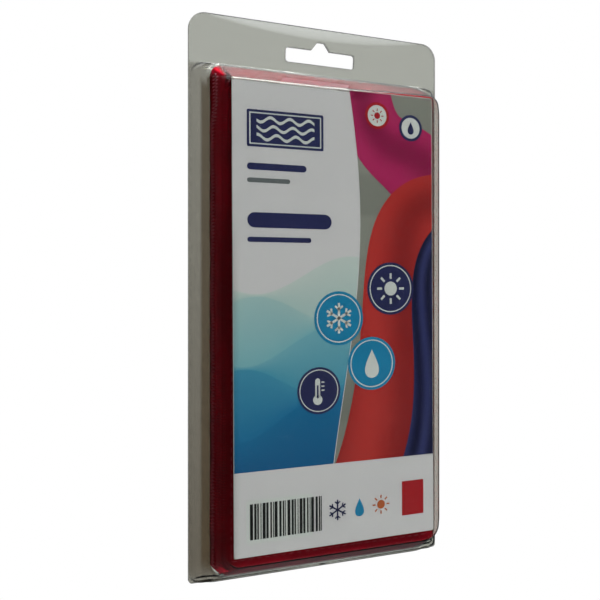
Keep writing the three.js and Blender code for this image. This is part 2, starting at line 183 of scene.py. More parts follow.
dark_end = lay(pale, "ShaderNodeEmission", {"Color": (1, 1, 1, 1), "Strength": 0.008})
matt = lay(pale, "ShaderNodeBsdfDiffuse", {"Color": (0.86, 0.86, 0.85, 1)})
by_mirror = lay(pale, "ShaderNodeMixShader", {0: from_inside, 1: matt.outputs[0], 2: dark_end.outputs[0]})
shown = lay(pale, "ShaderNodeMixShader", {0: far_white, 1: by_mirror.outputs[0], 2: white.outputs[0]})
lay(pale, "ShaderNodeOutputMaterial", {"Surface": shown.outputs[0]})
floor_shape.materials.append(pale_floor)

# Rear shell: a sheet of smoky clear plastic, drawn down over a mould into a shallow plug with a flange
# round it and a tall header above. The hang slot is punched through it.
# The plug presses into the front shell's rim and holds the two together.
MM = 0.001
PEAK = 225.8  # millimetres from the pack's foot to the peak of its hang slot
SHEET = 0.5
PACK_TOP = 232
FLANGE_HALF = 57.75
FLANGE_FOOT = 0.95
RIM_HALF = 57.4
RIM_FOOT = 1.35
RIM_TOP = 211.4
HEADER_FOOT = 211.6
BOW = 0.95
BOW_HALF = 52
CREST_AT_SIDES = 0.4
CREST_DIP = 5.4
CORNER_STEPS = 8
EDGE_STEPS = (48, 32, 48, 32)  # along the right side, the top, the left side and the foot
PLUG_DEEP = 2.2
REAR_FLANGE = -0.3
HALF_WAY = -0.12  # metres, about the middle of the pack's height
SIDES_FROM = 43
SIDES_BLEND = 5


def spot(x, depth, height):
    """A place on the pack, in millimetres across, forward of the parting plane and above the foot."""
    return Vector((x, -depth, height - PEAK)) * MM


def ring(depth, half, foot, top, foot_corner, top_corner):
    """A rounded rectangle that stands across the pack at one depth."""
    corners = (
        (half - foot_corner, foot + foot_corner, foot_corner, -90),
        (half - top_corner, top - top_corner, top_corner, 0),
        (top_corner - half, top - top_corner, top_corner, 90),
        (foot_corner - half, foot + foot_corner, foot_corner, 180),
    )
    arcs = []
    for x, height, radius, start in corners:
        turns = [math.radians(start + 90 * step / CORNER_STEPS) for step in range(CORNER_STEPS + 1)]
        arcs.append([(x + radius * math.cos(turn), height + radius * math.sin(turn)) for turn in turns])
    edge = []
    for arc, following, steps in zip(arcs, arcs[1:] + arcs[:1], EDGE_STEPS):
        edge += arc
        (x, height), (far_x, far_height) = arc[-1], following[0]
        for step in range(1, steps):
            share = step / steps
            edge.append((x + (far_x - x) * share, height + (far_height - height) * share))
    return [spot(x, depth, height) for x, height in edge]


def between(first, second, share):
    """The ring that lies part of the way from one ring to another."""
    return [a.lerp(b, share) for a, b in zip(first, second)]


def eased(rings, radii, steps=5):
    """A run of rings with each of its turns rounded, by a length for its top, its sides and its foot."""
    soft = [rings[0]]
    for before, here, after, (at_top, at_sides, at_foot) in zip(rings, rings[1:], rings[2:], radii):
        for step in range(steps + 1):
            share = step / steps
            soft.append([])
            for a, b, c in zip(before, here, after):
                at_end = at_top if b.z > HALF_WAY else at_foot
                beside = smooth((abs(b.x) / MM - SIDES_FROM) / SIDES_BLEND)
                radius = at_end + (at_sides - at_end) * beside
                start = b + (a - b) * min(0.5, radius * MM / max((a - b).length, 1e-9))
                end = b + (c - b) * min(0.5, radius * MM / max((c - b).length, 1e-9))
                soft[-1].append(start.lerp(b, share).lerp(b.lerp(end, share), share))
    return soft + [rings[-1]]


def smooth(share):
    """A share from 0 to 1, eased at both ends."""
    share = min(1.0, max(0.0, share))
    return share * share * (3 - 2 * share)


def header_bow(x, height):
    """How far forward the header bows, in millimetres: its top edge curls back from a crest."""
    if height < HEADER_FOOT:
        return 0.0
    across = max(0.0, 1 - (x / BOW_HALF) ** 2)
    crest = PACK_TOP - CREST_AT_SIDES - CREST_DIP * across
    if height < crest:
        return BOW * across * smooth((height - HEADER_FOOT) / (crest - HEADER_FOOT)) ** 1.5
    return BOW * across * (1 - 1.2 * ((height - crest) / (PACK_TOP - crest)) ** 1.25)


def drawn_skin(name, rings):
    """The outer skin of a drawn sheet, closed over its first ring, with its header bowed."""
    shape = bpy.data.meshes.new(name)
    count = len(rings[0])
    points = [point for ring_points in rings for point in ring_points]
    for point in points:
        point.y -= header_bow(point.x / MM, point.z / MM + PEAK) * MM
    faces = [list(range(count))]
    for row in range(len(rings) - 1):
        for column in range(count):
            a = row * count + column
            b = row * count + (column + 1) % count
            faces.append((b, a, a + count, b + count))
    shape.from_pydata(points, [], faces)
    shape.update()
    if shape.polygons[0].normal.y > 0:
        shape.flip_normals()
    return shape


def settle(piece):
    """Keeps the shape that a piece's modifiers give it."""
    shape = bpy.data.meshes.new_from_object(piece.evaluated_get(bpy.context.evaluated_depsgraph_get()))
    piece.modifiers.clear()
    piece.data = shape


def face_outward(shape):
    """Turns the faces of a closed mesh outward."""
    solid = bmesh.new()
    solid.from_mesh(shape)
    bmesh.ops.recalc_face_normals(solid, faces=solid.faces)
    solid.to_mesh(shape)
    solid.free()


def slot_punch():
    """The steel punch for the hang slot: two wings and a peak in the middle."""
    half = [(4.2, 222.4), (14.9, 222.4), (15.75, 222.05), (16.1, 221.2), (16.1, 217.4), (15.75, 216.55)]
    half = [(1.6, PEAK)] + half + [(14.9, 216.2)]
    edge = half + [(-x, height) for x, height in reversed(half)]
    points = [spot(x, depth, height) for depth in (4, -4) for x, height in edge]
    count = len(edge)
    faces = [list(range(count)), list(range(2 * count - 1, count - 1, -1))]
    faces += [((k + 1) % count, k, k + count, (k + 1) % count + count) for k in range(count)]
    shape = bpy.data.meshes.new("slot_punch")
    shape.from_pydata(points, [], faces)
    face_outward(shape)
    return shape


def piece(name, shape, body, slot, *finishes):
    """Puts a finished mesh into the scene, on the body that it moves with."""
    made = bpy.data.objects.new(name, shape)
    for finish in finishes:
        shape.materials.append(finish)
    scene.collection.objects.link(made)
    if body:
        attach(made, body)
    return made


def drawn_shell(name, rings, body, node, finish, shade):
    """A shell of even thickness with the slot punched, and the painted shade of its bends and walls marked
    for the finish.
    """
    shell = piece(name, drawn_skin(name, rings), None, "clear_sheet")
    wall = shell.modifiers.new("wall", "SOLIDIFY")
    wall.thickness = SHEET * MM
    wall.offset = -1
    settle(shell)
    punch = bpy.data.objects.new("slot_punch", slot_punch())
    scene.collection.objects.link(punch)
    cut = shell.modifiers.new("slot", "BOOLEAN")
    cut.object = punch
    cut.solver = "EXACT"
    settle(shell)
    bpy.data.objects.remove(punch)
    shell.data.materials.clear()
    shell.data.materials.append(finish)
    shell.data.shade_smooth()
    shell.data.set_sharp_from_angle(angle=math.radians(38))
    # The per-point mark of painted shade, which darkens the sheet's tint.
    smoke_and_shade = shell.data.attributes.new("smoke_and_shade", "FLOAT", "POINT")
    for vertex, mark in zip(shell.data.vertices, smoke_and_shade.data):
        mark.value = shade(vertex.co.x / MM, -vertex.co.y / MM, vertex.co.z / MM + PEAK)
    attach(shell, body)
    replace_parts(shell, node)
    return shell


def effect(name, inputs, outputs):
    """A shader node group with named sockets, and its two ends."""
    group = bpy.data.node_groups.new(name, "ShaderNodeTree")
    for socket, value in inputs.items():
        kind = "NodeSocketColor" if isinstance(value, tuple) else "NodeSocketFloat"
        group.interface.new_socket(socket, in_out="INPUT", socket_type=kind).default_value = value
    for socket in outputs:
        kind = "NodeSocketColor" if socket == "Color" else "NodeSocketFloat"
        group.interface.new_socket(socket, in_out="OUTPUT", socket_type=kind)
    return group, lay(group, "NodeGroupInput").outputs, lay(group, "NodeGroupOutput").inputs


def use(tree, group, inputs):
    """One placing of a node group in a material."""
    return lay(tree, "ShaderNodeGroup", inputs, node_tree=group).outputs


def finish_start(name):
    """An empty material and its tree."""
    made = bpy.data.materials.new(name)
    made.use_nodes = True
    made.node_tree.nodes.clear()
    return made, made.node_tree


def surface(tree, sockets):
    """Ends a material with one shader."""
    shader = lay(tree, "ShaderNodeBsdfPrincipled", sockets)
    lay(tree, "ShaderNodeOutputMaterial", {"Surface": shader.outputs[0]})


def stretched(tree, x, y, z):
    """The place on the object in metres, with each way scaled."""
    place = lay(tree, "ShaderNodeTexCoord").outputs["Object"]
    return lay(tree, "ShaderNodeVectorMath", {0: place, 1: (x, y, z)}, operation="MULTIPLY").outputs[0]


def grain(tree, place, scale, detail=2.0):
    """Cloudy noise from 0 to 1."""
    inputs = {"Vector": place, "Scale": scale, "Detail": detail}
    return lay(tree, "ShaderNodeTexNoise", inputs).outputs["Fac"]


shelf_scuffs, given, out = effect(
    "shelf_scuffs", {"Roughness": 0.03, "Scuff": 0.1}, ("Roughness", "Height")
)
fine = spread(shelf_scuffs, grain(shelf_scuffs, stretched(shelf_scuffs, 1, 1, 0.06), 900), 0.66, 0.78)
slant = spread(shelf_scuffs, grain(shelf_scuffs, stretched(shelf_scuffs, 0.1, 1, 0.9), 700), 0.68, 0.8)
patch = spread(shelf_scuffs, grain(shelf_scuffs, stretched(shelf_scuffs, 1, 1, 1), 38), 0.42, 0.66)
marks = reckon(shelf_scuffs, "MULTIPLY", reckon(shelf_scuffs, "MAXIMUM", fine, slant), patch)
haze = reckon(shelf_scuffs, "MULTIPLY_ADD", marks, given["Scuff"], given["Roughness"])
shelf_scuffs.links.new(haze, out["Roughness"])
ripple = grain(shelf_scuffs, stretched(shelf_scuffs, 1, 1, 0.6), 85, 1.0)
shelf_scuffs.links.new(reckon(shelf_scuffs, "MULTIPLY_ADD", marks, -0.05, ripple), out["Height"])

clear_sheet, tree = finish_start("smoky_clear_sheet")
scuffs = use(tree, shelf_scuffs, {"Roughness": 0.035, "Scuff": 0.14})
# The per-point mark mixes the sheet's tint toward dark brown; on the front shell it is painted shade on the
# bends and walls.
smoke_and_shade = lay(tree, "ShaderNodeAttribute", attribute_name="smoke_and_shade").outputs["Fac"]
tint = lay(
    tree,
    "ShaderNodeMix",
    {0: smoke_and_shade, 6: (0.665, 0.675, 0.64, 1), 7: (0.128, 0.096, 0.06, 1)},
    data_type="RGBA",
).outputs[2]
wave = lay(tree, "ShaderNodeBump", {"Height": scuffs["Height"], "Strength": 0.12, "Distance": 0.0004})
plastic = lay(
    tree,
    "ShaderNodeBsdfPrincipled",
    {
        "Base Color": tint,
        "Roughness": scuffs["Roughness"],
        "IOR": 1.5,
        "Transmission Weight": 1,
        "Normal": wave.outputs[0],
    },
)
through = lay(tree, "ShaderNodeBsdfTransparent", {"Color": (0.78, 0.79, 0.78, 1)})
ray = lay(tree, "ShaderNodeLightPath").outputs
passed = plastic
for lamp_light in ("Is Shadow Ray", "Is Diffuse Ray"):
    passed = lay(
        tree, "ShaderNodeMixShader", {0: ray[lamp_light], 1: passed.outputs[0], 2: through.outputs[0]}
    )
lay(tree, "ShaderNodeOutputMaterial", {"Surface": passed.outputs[0]})


def header_rings(inner, outer, count=30):
    """Rings from the rim out to the flange's edge, closer together near the top edge."""
    return [between(inner, outer, 1 - (1 - step / count) ** 1.25) for step in range(1, count + 1)]


def flange(depth):
    """The outer edge of a shell, round its flange and header."""
    return ring(depth, FLANGE_HALF, FLANGE_FOOT, PACK_TOP, foot_corner=1.5, top_corner=7)


def plug(depth, inset):
    """One ring of the rear shell's shallow plug."""
    half, foot, top = RIM_HALF - inset, RIM_FOOT + inset, RIM_TOP - inset
    return ring(depth, half, foot, top, foot_corner=1.6, top_corner=4.6)


rear_rim = eased(
    [plug(PLUG_DEEP, 9), plug(PLUG_DEEP, 2.4), plug(REAR_FLANGE, 0.95), plug(REAR_FLANGE, 0.2)],
    ((0.7, 1.3, 0.7), (0.35, 0.6, 0.35)),
)
drawn_shell(
    "rear_clear_shell",
    rear_rim + header_rings(rear_rim[-1], flange(REAR_FLANGE)),
    "rear_half",
    "rear_shell",
    clear_sheet,
    lambda x, depth, height: 0.0,
)

# Instruction leaflet: one sheet of coated paper folded to a panel, laid loose between the rear shell
# and the wallet. Its rear face shows through the clear plug, with a plain cool band and three signs.
paper_fibre, given, out = effect(
    "paper_fibre", {"Ink": (0.9, 0.9, 0.9, 1), "Wear": 0.06}, ("Color", "Roughness", "Height")
)
fibre = grain(paper_fibre, stretched(paper_fibre, 1, 1, 1), 2600, 3.0)
cloud = grain(paper_fibre, stretched(paper_fibre, 1, 1, 1), 60, 2.0)
mottle = reckon(paper_fibre, "MULTIPLY_ADD", reckon(paper_fibre, "ADD", fibre, cloud), given["Wear"], 1.0)
even = reckon(paper_fibre, "SUBTRACT", mottle, given["Wear"])
inked = lay(paper_fibre, "ShaderNodeVectorMath", {0: given["Ink"], 3: even}, operation="SCALE").outputs[0]
paper_fibre.links.new(inked, out["Color"])
paper_fibre.links.new(spread(paper_fibre, cloud, 0.3, 0.7, 0.3, 0.46), out["Roughness"])
paper_fibre.links.new(fibre, out["Height"])


def tone(red, green, blue):
    """A colour as it is written for screens, turned to the strengths that light needs."""
    return tuple(
        level / 12.92 if level <= 0.04045 else ((level + 0.055) / 1.055) ** 2.4
        for level in (red / 255, green / 255, blue / 255)
    )


def paper_finish(name, colour, wear, attribute=None, coat=0.25):
    """Coated paper or card, plain or printed from colours kept on the mesh."""
    made, tree = finish_start(name)
    ink = (*colour, 1)
    if attribute:
        ink = lay(tree, "ShaderNodeAttribute", attribute_name=attribute).outputs["Color"]
    sheet = use(tree, paper_fibre, {"Ink": ink, "Wear": wear})
    rough = lay(tree, "ShaderNodeBump", {"Height": sheet["Height"], "Strength": 0.08, "Distance": 0.0001})
    surface(
        tree,
        {
            "Base Color": sheet["Color"],
            "Roughness": sheet["Roughness"],
            "Coat Weight": coat,
            "Coat Roughness": 0.25,
            "Normal": rough.outputs[0],
        },
    )
    return made


def new_print(place):
    """Ink to be laid on one face of a sheet. The rule finds a place from its lower left corner."""
    return {"place": place, "points": [], "faces": [], "colours": []}


def wash(ink, rows, layer, colour):
    """Ink over a grid of places; the colour is one tone or changes with the place."""
    first = len(ink["points"])
    wide = len(rows[0])
    for down, row in enumerate(rows):
        for side, (across, up) in enumerate(row):
            ink["points"].append(ink["place"](across, up, layer))
            if callable(colour):
                ink["colours"].append(colour(down / (len(rows) - 1), side / (wide - 1)))
            else:
                ink["colours"].append(colour)
    for down in range(len(rows) - 1):
        for side in range(wide - 1):
            a = first + down * wide + side
            ink["faces"].append((a, a + wide, a + wide + 1, a + 1))


def spread_ink(ink, edge, layer, colour):
    """Ink inside one closed line."""
    first = len(ink["points"])
    ink["points"].extend(ink["place"](across, up, layer) for across, up in edge)
    ink["colours"].extend([colour] * len(edge))
    ink["faces"].append(tuple(range(first, first + len(edge))))


def roundel(ink, across, up, inner, outer, layer, colour, steps=40):
    """A disc, or a ring where the inner radius isn't nought."""
    turns = [2 * math.pi * step / steps for step in range(steps + 1)]
    rows = []
    for radius in (outer, max(inner, 0.01)):
        rows.append([(across + radius * math.cos(turn), up + radius * math.sin(turn)) for turn in turns])
    wash(ink, rows, layer, colour)


def stroke(ink, across, up, far_across, far_up, width, layer, colour):
    """A straight stroke with square ends."""
    length = math.hypot(far_across - across, far_up - up)
    side = ((up - far_up) / length * width / 2, (far_across - across) / length * width / 2)
    edge = [
        (across + side[0], up + side[1]),
        (across - side[0], up - side[1]),
        (far_across - side[0], far_up - side[1]),
        (far_across + side[0], far_up + side[1]),
    ]
    spread_ink(ink, edge[::-1], layer, colour)


def oblong(ink, left, foot, right, top, radius, layer, colour):
    """A rectangle with round corners."""
    edge = []
    for across, up, start in (
        (right - radius, foot + radius, -90),
        (right - radius, top - radius, 0),
        (left + radius, top - radius, 90),
        (left + radius, foot + radius, 180),
    ):
        for step in range(5):
            turn = math.radians(start + 22.5 * step)
            edge.append((across + radius * math.cos(turn), up + radius * math.sin(turn)))
    spread_ink(ink, edge, layer, colour)


def mixed(first, second, share):
    """A tone between two others."""
    return tuple(a + (b - a) * share for a, b in zip(first, second))


def printed(ink, name, body, slot, facing):
    """Makes a piece of the ink laid so far. It faces the front where facing is -1, the rear where it is 1."""
    shape = bpy.data.meshes.new(name)
    shape.from_pydata(ink["points"], [], ink["faces"])
    pigment = shape.attributes.new("ink", "FLOAT_COLOR", "POINT")
    for mark, colour in zip(pigment.data, ink["colours"]):
        mark.color = (*colour, 1)
    solid = bmesh.new()
    solid.from_mesh(shape)
    for face in solid.faces:
        if face.normal.y * facing < 0:
            face.normal_flip()
    solid.to_mesh(shape)
    solid.free()
    return piece(name, shape, body, slot, ink_finish)


NAVY = tone(50, 54, 104)
CYAN = tone(30, 150, 204)
WHITE = tone(242, 246, 246)
RED = tone(196, 34, 44)
GREY = tone(120, 126, 130)


def snow(ink, across, up, size, layer, colour):
    """A six-armed snow sign."""
    for arm in range(6):
        turn = math.radians(60 * arm + 30)
        reach = (math.cos(turn), math.sin(turn))
        stroke(ink, across, up, across + size * reach[0], up + size * reach[1], size * 0.16, layer, colour)
        for twig in (-1, 1):
            slant = turn + twig * math.radians(50)
            start = (across + 0.58 * size * reach[0], up + 0.58 * size * reach[1])
            end = (start[0] + 0.36 * size * math.cos(slant), start[1] + 0.36 * size * math.sin(slant))
            stroke(ink, *start, *end, size * 0.13, layer, colour)


def drop(ink, across, up, size, layer, colour):
    """A drop of water, point upward."""
    edge = []
    for step in range(36):
        turn = 2 * math.pi * step / 36
        pinch = math.sin(turn / 2) ** 1.6
        edge.append((across + 0.78 * size * math.sin(turn) * pinch, up + size * math.cos(turn)))
    spread_ink(ink, edge[::-1], layer, colour)


def sun(ink, across, up, size, layer, colour):
    """A round sun with eight rays."""
    roundel(ink, across, up, 0, 0.46 * size, layer, colour, 28)
    for ray_index in range(8):
        turn = math.radians(45 * ray_index)
        reach = (math.cos(turn), math.sin(turn))
        start = (across + 0.64 * size * reach[0], up + 0.64 * size * reach[1])
        stroke(ink, *start, across + size * reach[0], up + size * reach[1], size * 0.15, layer, colour)


def swept(name, loops):
    """A closed skin through a run of closed loops, with its ends capped."""
    count = len(loops[0])
    points = [point for loop in loops for point in loop]
    faces = [list(range(count)), list(range(len(points) - 1, len(points) - 1 - count, -1))]
    for row in range(len(loops) - 1):
        for column in range(count):
            a = row * count + column
            b = row * count + (column + 1) % count
            faces.append((a, b, b + count, a + count))
    shape = bpy.data.meshes.new(name)
    shape.from_pydata(points, [], faces)
    face_outward(shape)
    shape.shade_smooth()
    return shape


leaflet_low, leaflet_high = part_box("instruction_leaflet")
LEAFLET_HALF = leaflet_high.x / MM
LEAFLET_FOOT = leaflet_low.z / MM + PEAK
LEAFLET_TALL = (leaflet_high.z - leaflet_low.z) / MM
PLY = 0.09
PLY_STEPS = 24
FOLD_STEPS = 8
FRONT_PLY = 2.89
PLY_FOLDS = ((2.79, 1), (2.61, -1))  # depth of each fold's middle, and the side that it is on
LEAFLET_ROWS = 100
LEAFLET_BACK = 2.425
LEAFLET_INK = 0.012


def both_faces(run, half):
    """A run of places with a thickness: its places along one face and back along the other."""
    loop = []
    for face, order in ((1, range(len(run))), (-1, range(len(run) - 1, -1, -1))):
        for index in order:
            ahead = Vector(run[min(index + 1, len(run) - 1)]) - Vector(run[max(index - 1, 0)])
            out = Vector((ahead.y, -ahead.x)).normalized() * face * half
            loop.append((run[index][0] + out.x, run[index][1] + out.y))
    return loop


def folded_plies():
    """Three plies of one sheet, joined by a round fold at each side and creased once across the middle."""
    reach = LEAFLET_HALF - 0.2
    shares = [step / PLY_STEPS for step in range(PLY_STEPS + 1)]
    run = [(-reach + 0.7 * (1 - share) + 2 * reach * share, FRONT_PLY) for share in shares]
    for middle, side in PLY_FOLDS:
        for step in range(1, FOLD_STEPS):
            turn = math.pi * step / FOLD_STEPS
            run.append((side * (reach + PLY * math.sin(turn)), middle + PLY * math.cos(turn)))
        run += [(side * reach * (1 - 2 * share), middle - PLY) for share in shares]
    loops = []
    for row in range(LEAFLET_ROWS + 1):
        share = row / LEAFLET_ROWS
        height = LEAFLET_FOOT + LEAFLET_TALL * share
        crease = 0.05 * math.exp(-(((share - 0.5) * LEAFLET_TALL / 1.6) ** 2))
        loops.append([spot(x, depth + crease, height) for x, depth in both_faces(run, PLY / 2)])
    return swept("folded_leaflet", loops)


def on_leaflet(across, up, layer):
    """A place on the leaflet's rear ply, as it is read from behind the pack."""
    return spot(LEAFLET_HALF - across, LEAFLET_BACK - LEAFLET_INK * layer, LEAFLET_FOOT + up)


leaflet_paper = paper_finish("leaflet_paper", tone(236, 238, 236), 0.05)
ink_finish = paper_finish("printed_ink", (1, 1, 1), 0.07, "ink", 0.35)
leaflet = piece("folded_leaflet", folded_plies(), "rear_half", "leaflet_paper", leaflet_paper)
leaflet.data.set_sharp_from_angle(angle=math.radians(40))
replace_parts(leaflet, "instruction_leaflet")
leaflet_ink = new_print(on_leaflet)
wide, tall = 2 * LEAFLET_HALF, LEAFLET_TALL
MARGIN = 1.2
BAND_TALL = 24
BLOCK_PITCH = 46
SIGN_ACROSS = 20
band = []
for down in range(7):
    up = tall - MARGIN - BAND_TALL * down / 6
    band.append([(MARGIN + (wide - 2 * MARGIN) * step / 12, up) for step in range(13)])
wash(leaflet_ink, band, 1, lambda down, side: mixed(tone(30, 120, 176), tone(150, 208, 222), down))
oblong(leaflet_ink, 8, tall - 12, 44, tall - 8, 2, 2, WHITE)
oblong(leaflet_ink, 8, tall - 18, 32, tall - 15.6, 1.2, 2, WHITE)
for block, (sign, colour) in enumerate(((drop, CYAN), (snow, NAVY), (sun, RED))):
    middle = tall - BLOCK_PITCH - BLOCK_PITCH * block
    roundel(leaflet_ink, SIGN_ACROSS, middle, 0, 10.5, 1, colour)
    roundel(leaflet_ink, SIGN_ACROSS, middle, 9.2, 9.6, 2, WHITE)
    sign(leaflet_ink, SIGN_ACROSS, middle, 5.8, 3, WHITE)
    for line in range(5):
        end = wide - 10 - (7 * line + 5 * block) % 16
        oblong(leaflet_ink, 38, middle + 6.6 - 3.8 * line, end, middle + 8.2 - 3.8 * line, 0.8, 1, GREY)
printed(leaflet_ink, "leaflet_print", "rear_half", "leaflet_paper", 1)

# Wallet, back panel of the outer cover: dark red woven polyester, doubled and turned in at its rim,
# sewn to the gussets all round. Its upper edge runs on into the flap.


def parted(tree):
    """The place on the object in metres, as one number for each way."""
    place = lay(tree, "ShaderNodeTexCoord").outputs["Object"]
    return lay(tree, "ShaderNodeSeparateXYZ", {0: place}).outputs


woven_threads, given, out = effect(
    "woven_threads",
    {"Warp": (0.3, 0.01, 0.03, 1), "Weft": (0.2, 0.01, 0.02, 1), "Pitch": 0.5, "Fade": 0.2},
    ("Color", "Roughness", "Height"),
)
place = parted(woven_threads)
turns = reckon(woven_threads, "DIVIDE", 1000 * math.pi, given["Pitch"])
along = reckon(woven_threads, "MULTIPLY", reckon(woven_threads, "ADD", place["X"], place["Y"]), turns)
lean = reckon(woven_threads, "MULTIPLY_ADD", place["Y"], -0.6, place["Z"])
upward = reckon(woven_threads, "MULTIPLY", lean, turns)
warp_wave = reckon(woven_threads, "SINE", along)
weft_wave = reckon(woven_threads, "SINE", upward)
over = spread(woven_threads, reckon(woven_threads, "MULTIPLY", warp_wave, weft_wave), -0.25, 0.25)
warp_round = reckon(woven_threads, "ABSOLUTE", warp_wave)
weft_round = reckon(woven_threads, "ABSOLUTE", weft_wave)
crown = lay(woven_threads, "ShaderNodeMix", {0: over, 2: weft_round, 3: warp_round}).outputs[0]
slub = grain(woven_threads, stretched(woven_threads, 1, 1, 1), 1400, 2.0)
worn = spread(woven_threads, grain(woven_threads, stretched(woven_threads, 1, 1, 1), 55, 3.0), 0.35, 0.7)
thread = lay(
    woven_threads, "ShaderNodeMix", {0: over, 6: given["Weft"], 7: given["Warp"]}, data_type="RGBA"
).outputs[2]
# The colour is darker between the thread crowns: painted shade in the weave's hollows. Slub and fade are
# uneven threads and wear.
depth = reckon(woven_threads, "MULTIPLY_ADD", crown, 0.4, 0.72)
depth = reckon(woven_threads, "MULTIPLY", depth, reckon(woven_threads, "MULTIPLY_ADD", slub, 0.3, 0.85))
worn = reckon(woven_threads, "SUBTRACT", worn, 0.5)
fade = reckon(woven_threads, "MULTIPLY_ADD", worn, given["Fade"], 1.0)
level = reckon(woven_threads, "MULTIPLY", depth, fade)
cloth = lay(woven_threads, "ShaderNodeVectorMath", {0: thread, 3: level}, operation="SCALE").outputs[0]
woven_threads.links.new(cloth, out["Color"])
woven_threads.links.new(spread(woven_threads, crown, 0, 1, 0.92, 0.7), out["Roughness"])
woven_threads.links.new(crown, out["Height"])


def cloth_finish(name, warp, weft, pitch, fade=0.25, relief=0.5, sheen=0.06):
    """Woven cloth: two threads, their pitch in millimetres, and how unevenly it has faded."""
    made, tree = finish_start(name)
    weave = use(
        tree, woven_threads, {"Warp": (*warp, 1), "Weft": (*weft, 1), "Pitch": pitch, "Fade": fade}
    )
    raised = lay(tree, "ShaderNodeBump", {"Height": weave["Height"], "Strength": relief, "Distance": 0.0002})
    surface(
        tree,
        {
            "Base Color": weave["Color"],
            "Roughness": weave["Roughness"],
            "Specular IOR Level": 0.12,
            "Sheen Weight": sheen,
            "Sheen Roughness": 0.4,
            "Sheen Tint": (*[min(1, 2.2 * level) for level in warp], 1),
            "Normal": raised.outputs[0],
        },
    )
    return made


red_cloth = cloth_finish("red_cover_cloth", tone(168, 6, 32), tone(128, 4, 24), 0.55)


def flat_panel(x, z):
    """No relief, and full all over."""
    return 0.0, 1.0


def soft_panel(node, corner=0.0, cell=2.0, lip=1.0, relief=flat_panel, edge=0.3):
    """A thin soft piece in the space of its solid: front and back faces whose rim is rolled thin.
    Relief gives, at a place in metres, how many millimetres it stands forward and its share of fullness."""
    low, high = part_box(node)
    corner, cell, lip = corner * MM, cell * MM, lip * MM
    columns = max(6, round((high.x - low.x) / cell))
    rows = max(6, round((high.z - low.z) / cell))
    middle = (low.y + high.y) / 2
    half = (high.y - low.y) / 2
    fronts, backs = [], []
    for row in range(rows + 1):
        z = low.z + (high.z - low.z) * row / rows
        gap = min(z - low.z, high.z - z)
        inset = corner - math.sqrt(max(0, corner**2 - (corner - gap) ** 2)) if gap < corner else 0
        left, right = low.x + inset, high.x - inset
        for column in range(columns + 1):
            x = left + (right - left) * column / columns
            near = min(x - left, right - x, gap)
            roll = edge + (1 - edge) * math.sqrt(1 - (1 - min(1, near / lip)) ** 2)
            stand, full = relief(x, z)
            fronts.append((x, middle - stand * MM - half * roll * full, z))
            backs.append((x, middle - stand * MM + half * roll * full, z))
    wide = columns + 1
    count = len(fronts)
    faces = []
    for row in range(rows):
        for column in range(columns):
            a = row * wide + column
            faces.append((a, a + 1, a + 1 + wide, a + wide))
            faces.append((a + count, a + wide + count, a + 1 + wide + count, a + 1 + count))
    border = list(range(columns))
    border += [row * wide + columns for row in range(rows)]
    border += [rows * wide + columns - column for column in range(columns)]
    border += [(rows - row) * wide for row in range(rows)]
    for a, b in zip(border, border[1:] + border[:1]):
        faces.append((b, a, a + count, b + count))
    shape = bpy.data.meshes.new(node)
    shape.from_pydata(fronts + backs, [], faces)
    shape.shade_smooth()
    shape.update()
    return shape


def ripple_of(x, z, size, seed):
    """Slow unevenness of handled cloth, from -1 to 1, over a size in millimetres."""
    return noise.noise(Vector((x / MM / size, seed, z / MM / size)))


back_low, back_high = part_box("cover_back_panel")


def back_cover_relief(x, z):
    """Handled cloth with a sewn line sunk in along its rim."""
    near = min(x - back_low.x, back_high.x - x, z - back_low.z, back_high.z - z) / MM
    return 0.08 * ripple_of(x, z, 16, 3) - 0.12 * math.exp(-((near - 3.2) / 0.7) ** 2), 1.0


back_cover = piece(
    "back_cover_cloth",
    soft_panel("cover_back_panel", 5, 1.6, 1.0, back_cover_relief),
    "rear_half",
    "red_cover_cloth",
    red_cloth,
)
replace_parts(back_cover, "cover_back_panel")

# Gussets of the cover: a folded strip of the same cloth along each side and along the foot, plump and
# a little puckered. Its rear half is oversewn to the back panel, a ladder of thread down each side.
STITCH = 1.4
WALLET_HALF = 50.05
WALLET_FOOT = 3.35
WALLET_TOP = 209.9
TRAY_RIM = 3
TRAY_DEEP = 16.6
SIDE_LEAN = 3.8
FOOT_LEAN = 9.35
TOP_LEAN = 9.5
GUSSET_BACK = 4.25
GUSSET_DEEP = 9.9
GUSSET_FRONT = 14.15
GUSSET_LOWEST = 6.5
GUSSET_TOP = 209.55
GUSSET_INSIDE = 44.55
GUSSET_ROWS = 540
GUSSET_STEPS = 18
INNER_SHARES = (0.9, 0.5, 0.1)
FLAP_ROOM = 0.75
FLAP_LEVEL = 198.6
FOOT_HALF = 44.4
FOOT_INSIDE = 12.6
FOOT_COLUMNS = 300
LADDER_FOOT = 9.4
LADDER_TOP = 205


def wallet_half(depth):
    """Half the room for the wallet between the tray's side walls, in millimetres."""
    return WALLET_HALF - SIDE_LEAN * (depth - TRAY_RIM) / TRAY_DEEP


def wallet_foot(depth):
    """Height of the room for the wallet above the tray's sloping foot."""
    return WALLET_FOOT + FOOT_LEAN * (depth - TRAY_RIM) / TRAY_DEEP


def plump(share):
    """How far a gusset stands out across its width: full in each half, pulled in at the seam between."""
    crown = 0.26 - 0.36 * abs(2 * share - 1) ** 5
    return crown - 0.42 * math.exp(-(((share - 0.54) / 0.05) ** 2))


def drawn_in(side, height):
    """How far the wallet's right side is drawn in from the tray, in millimetres."""
    return 0.9 * smooth((height - 12) / 14) * smooth((200 - height) / 8) if side > 0 else 0.0


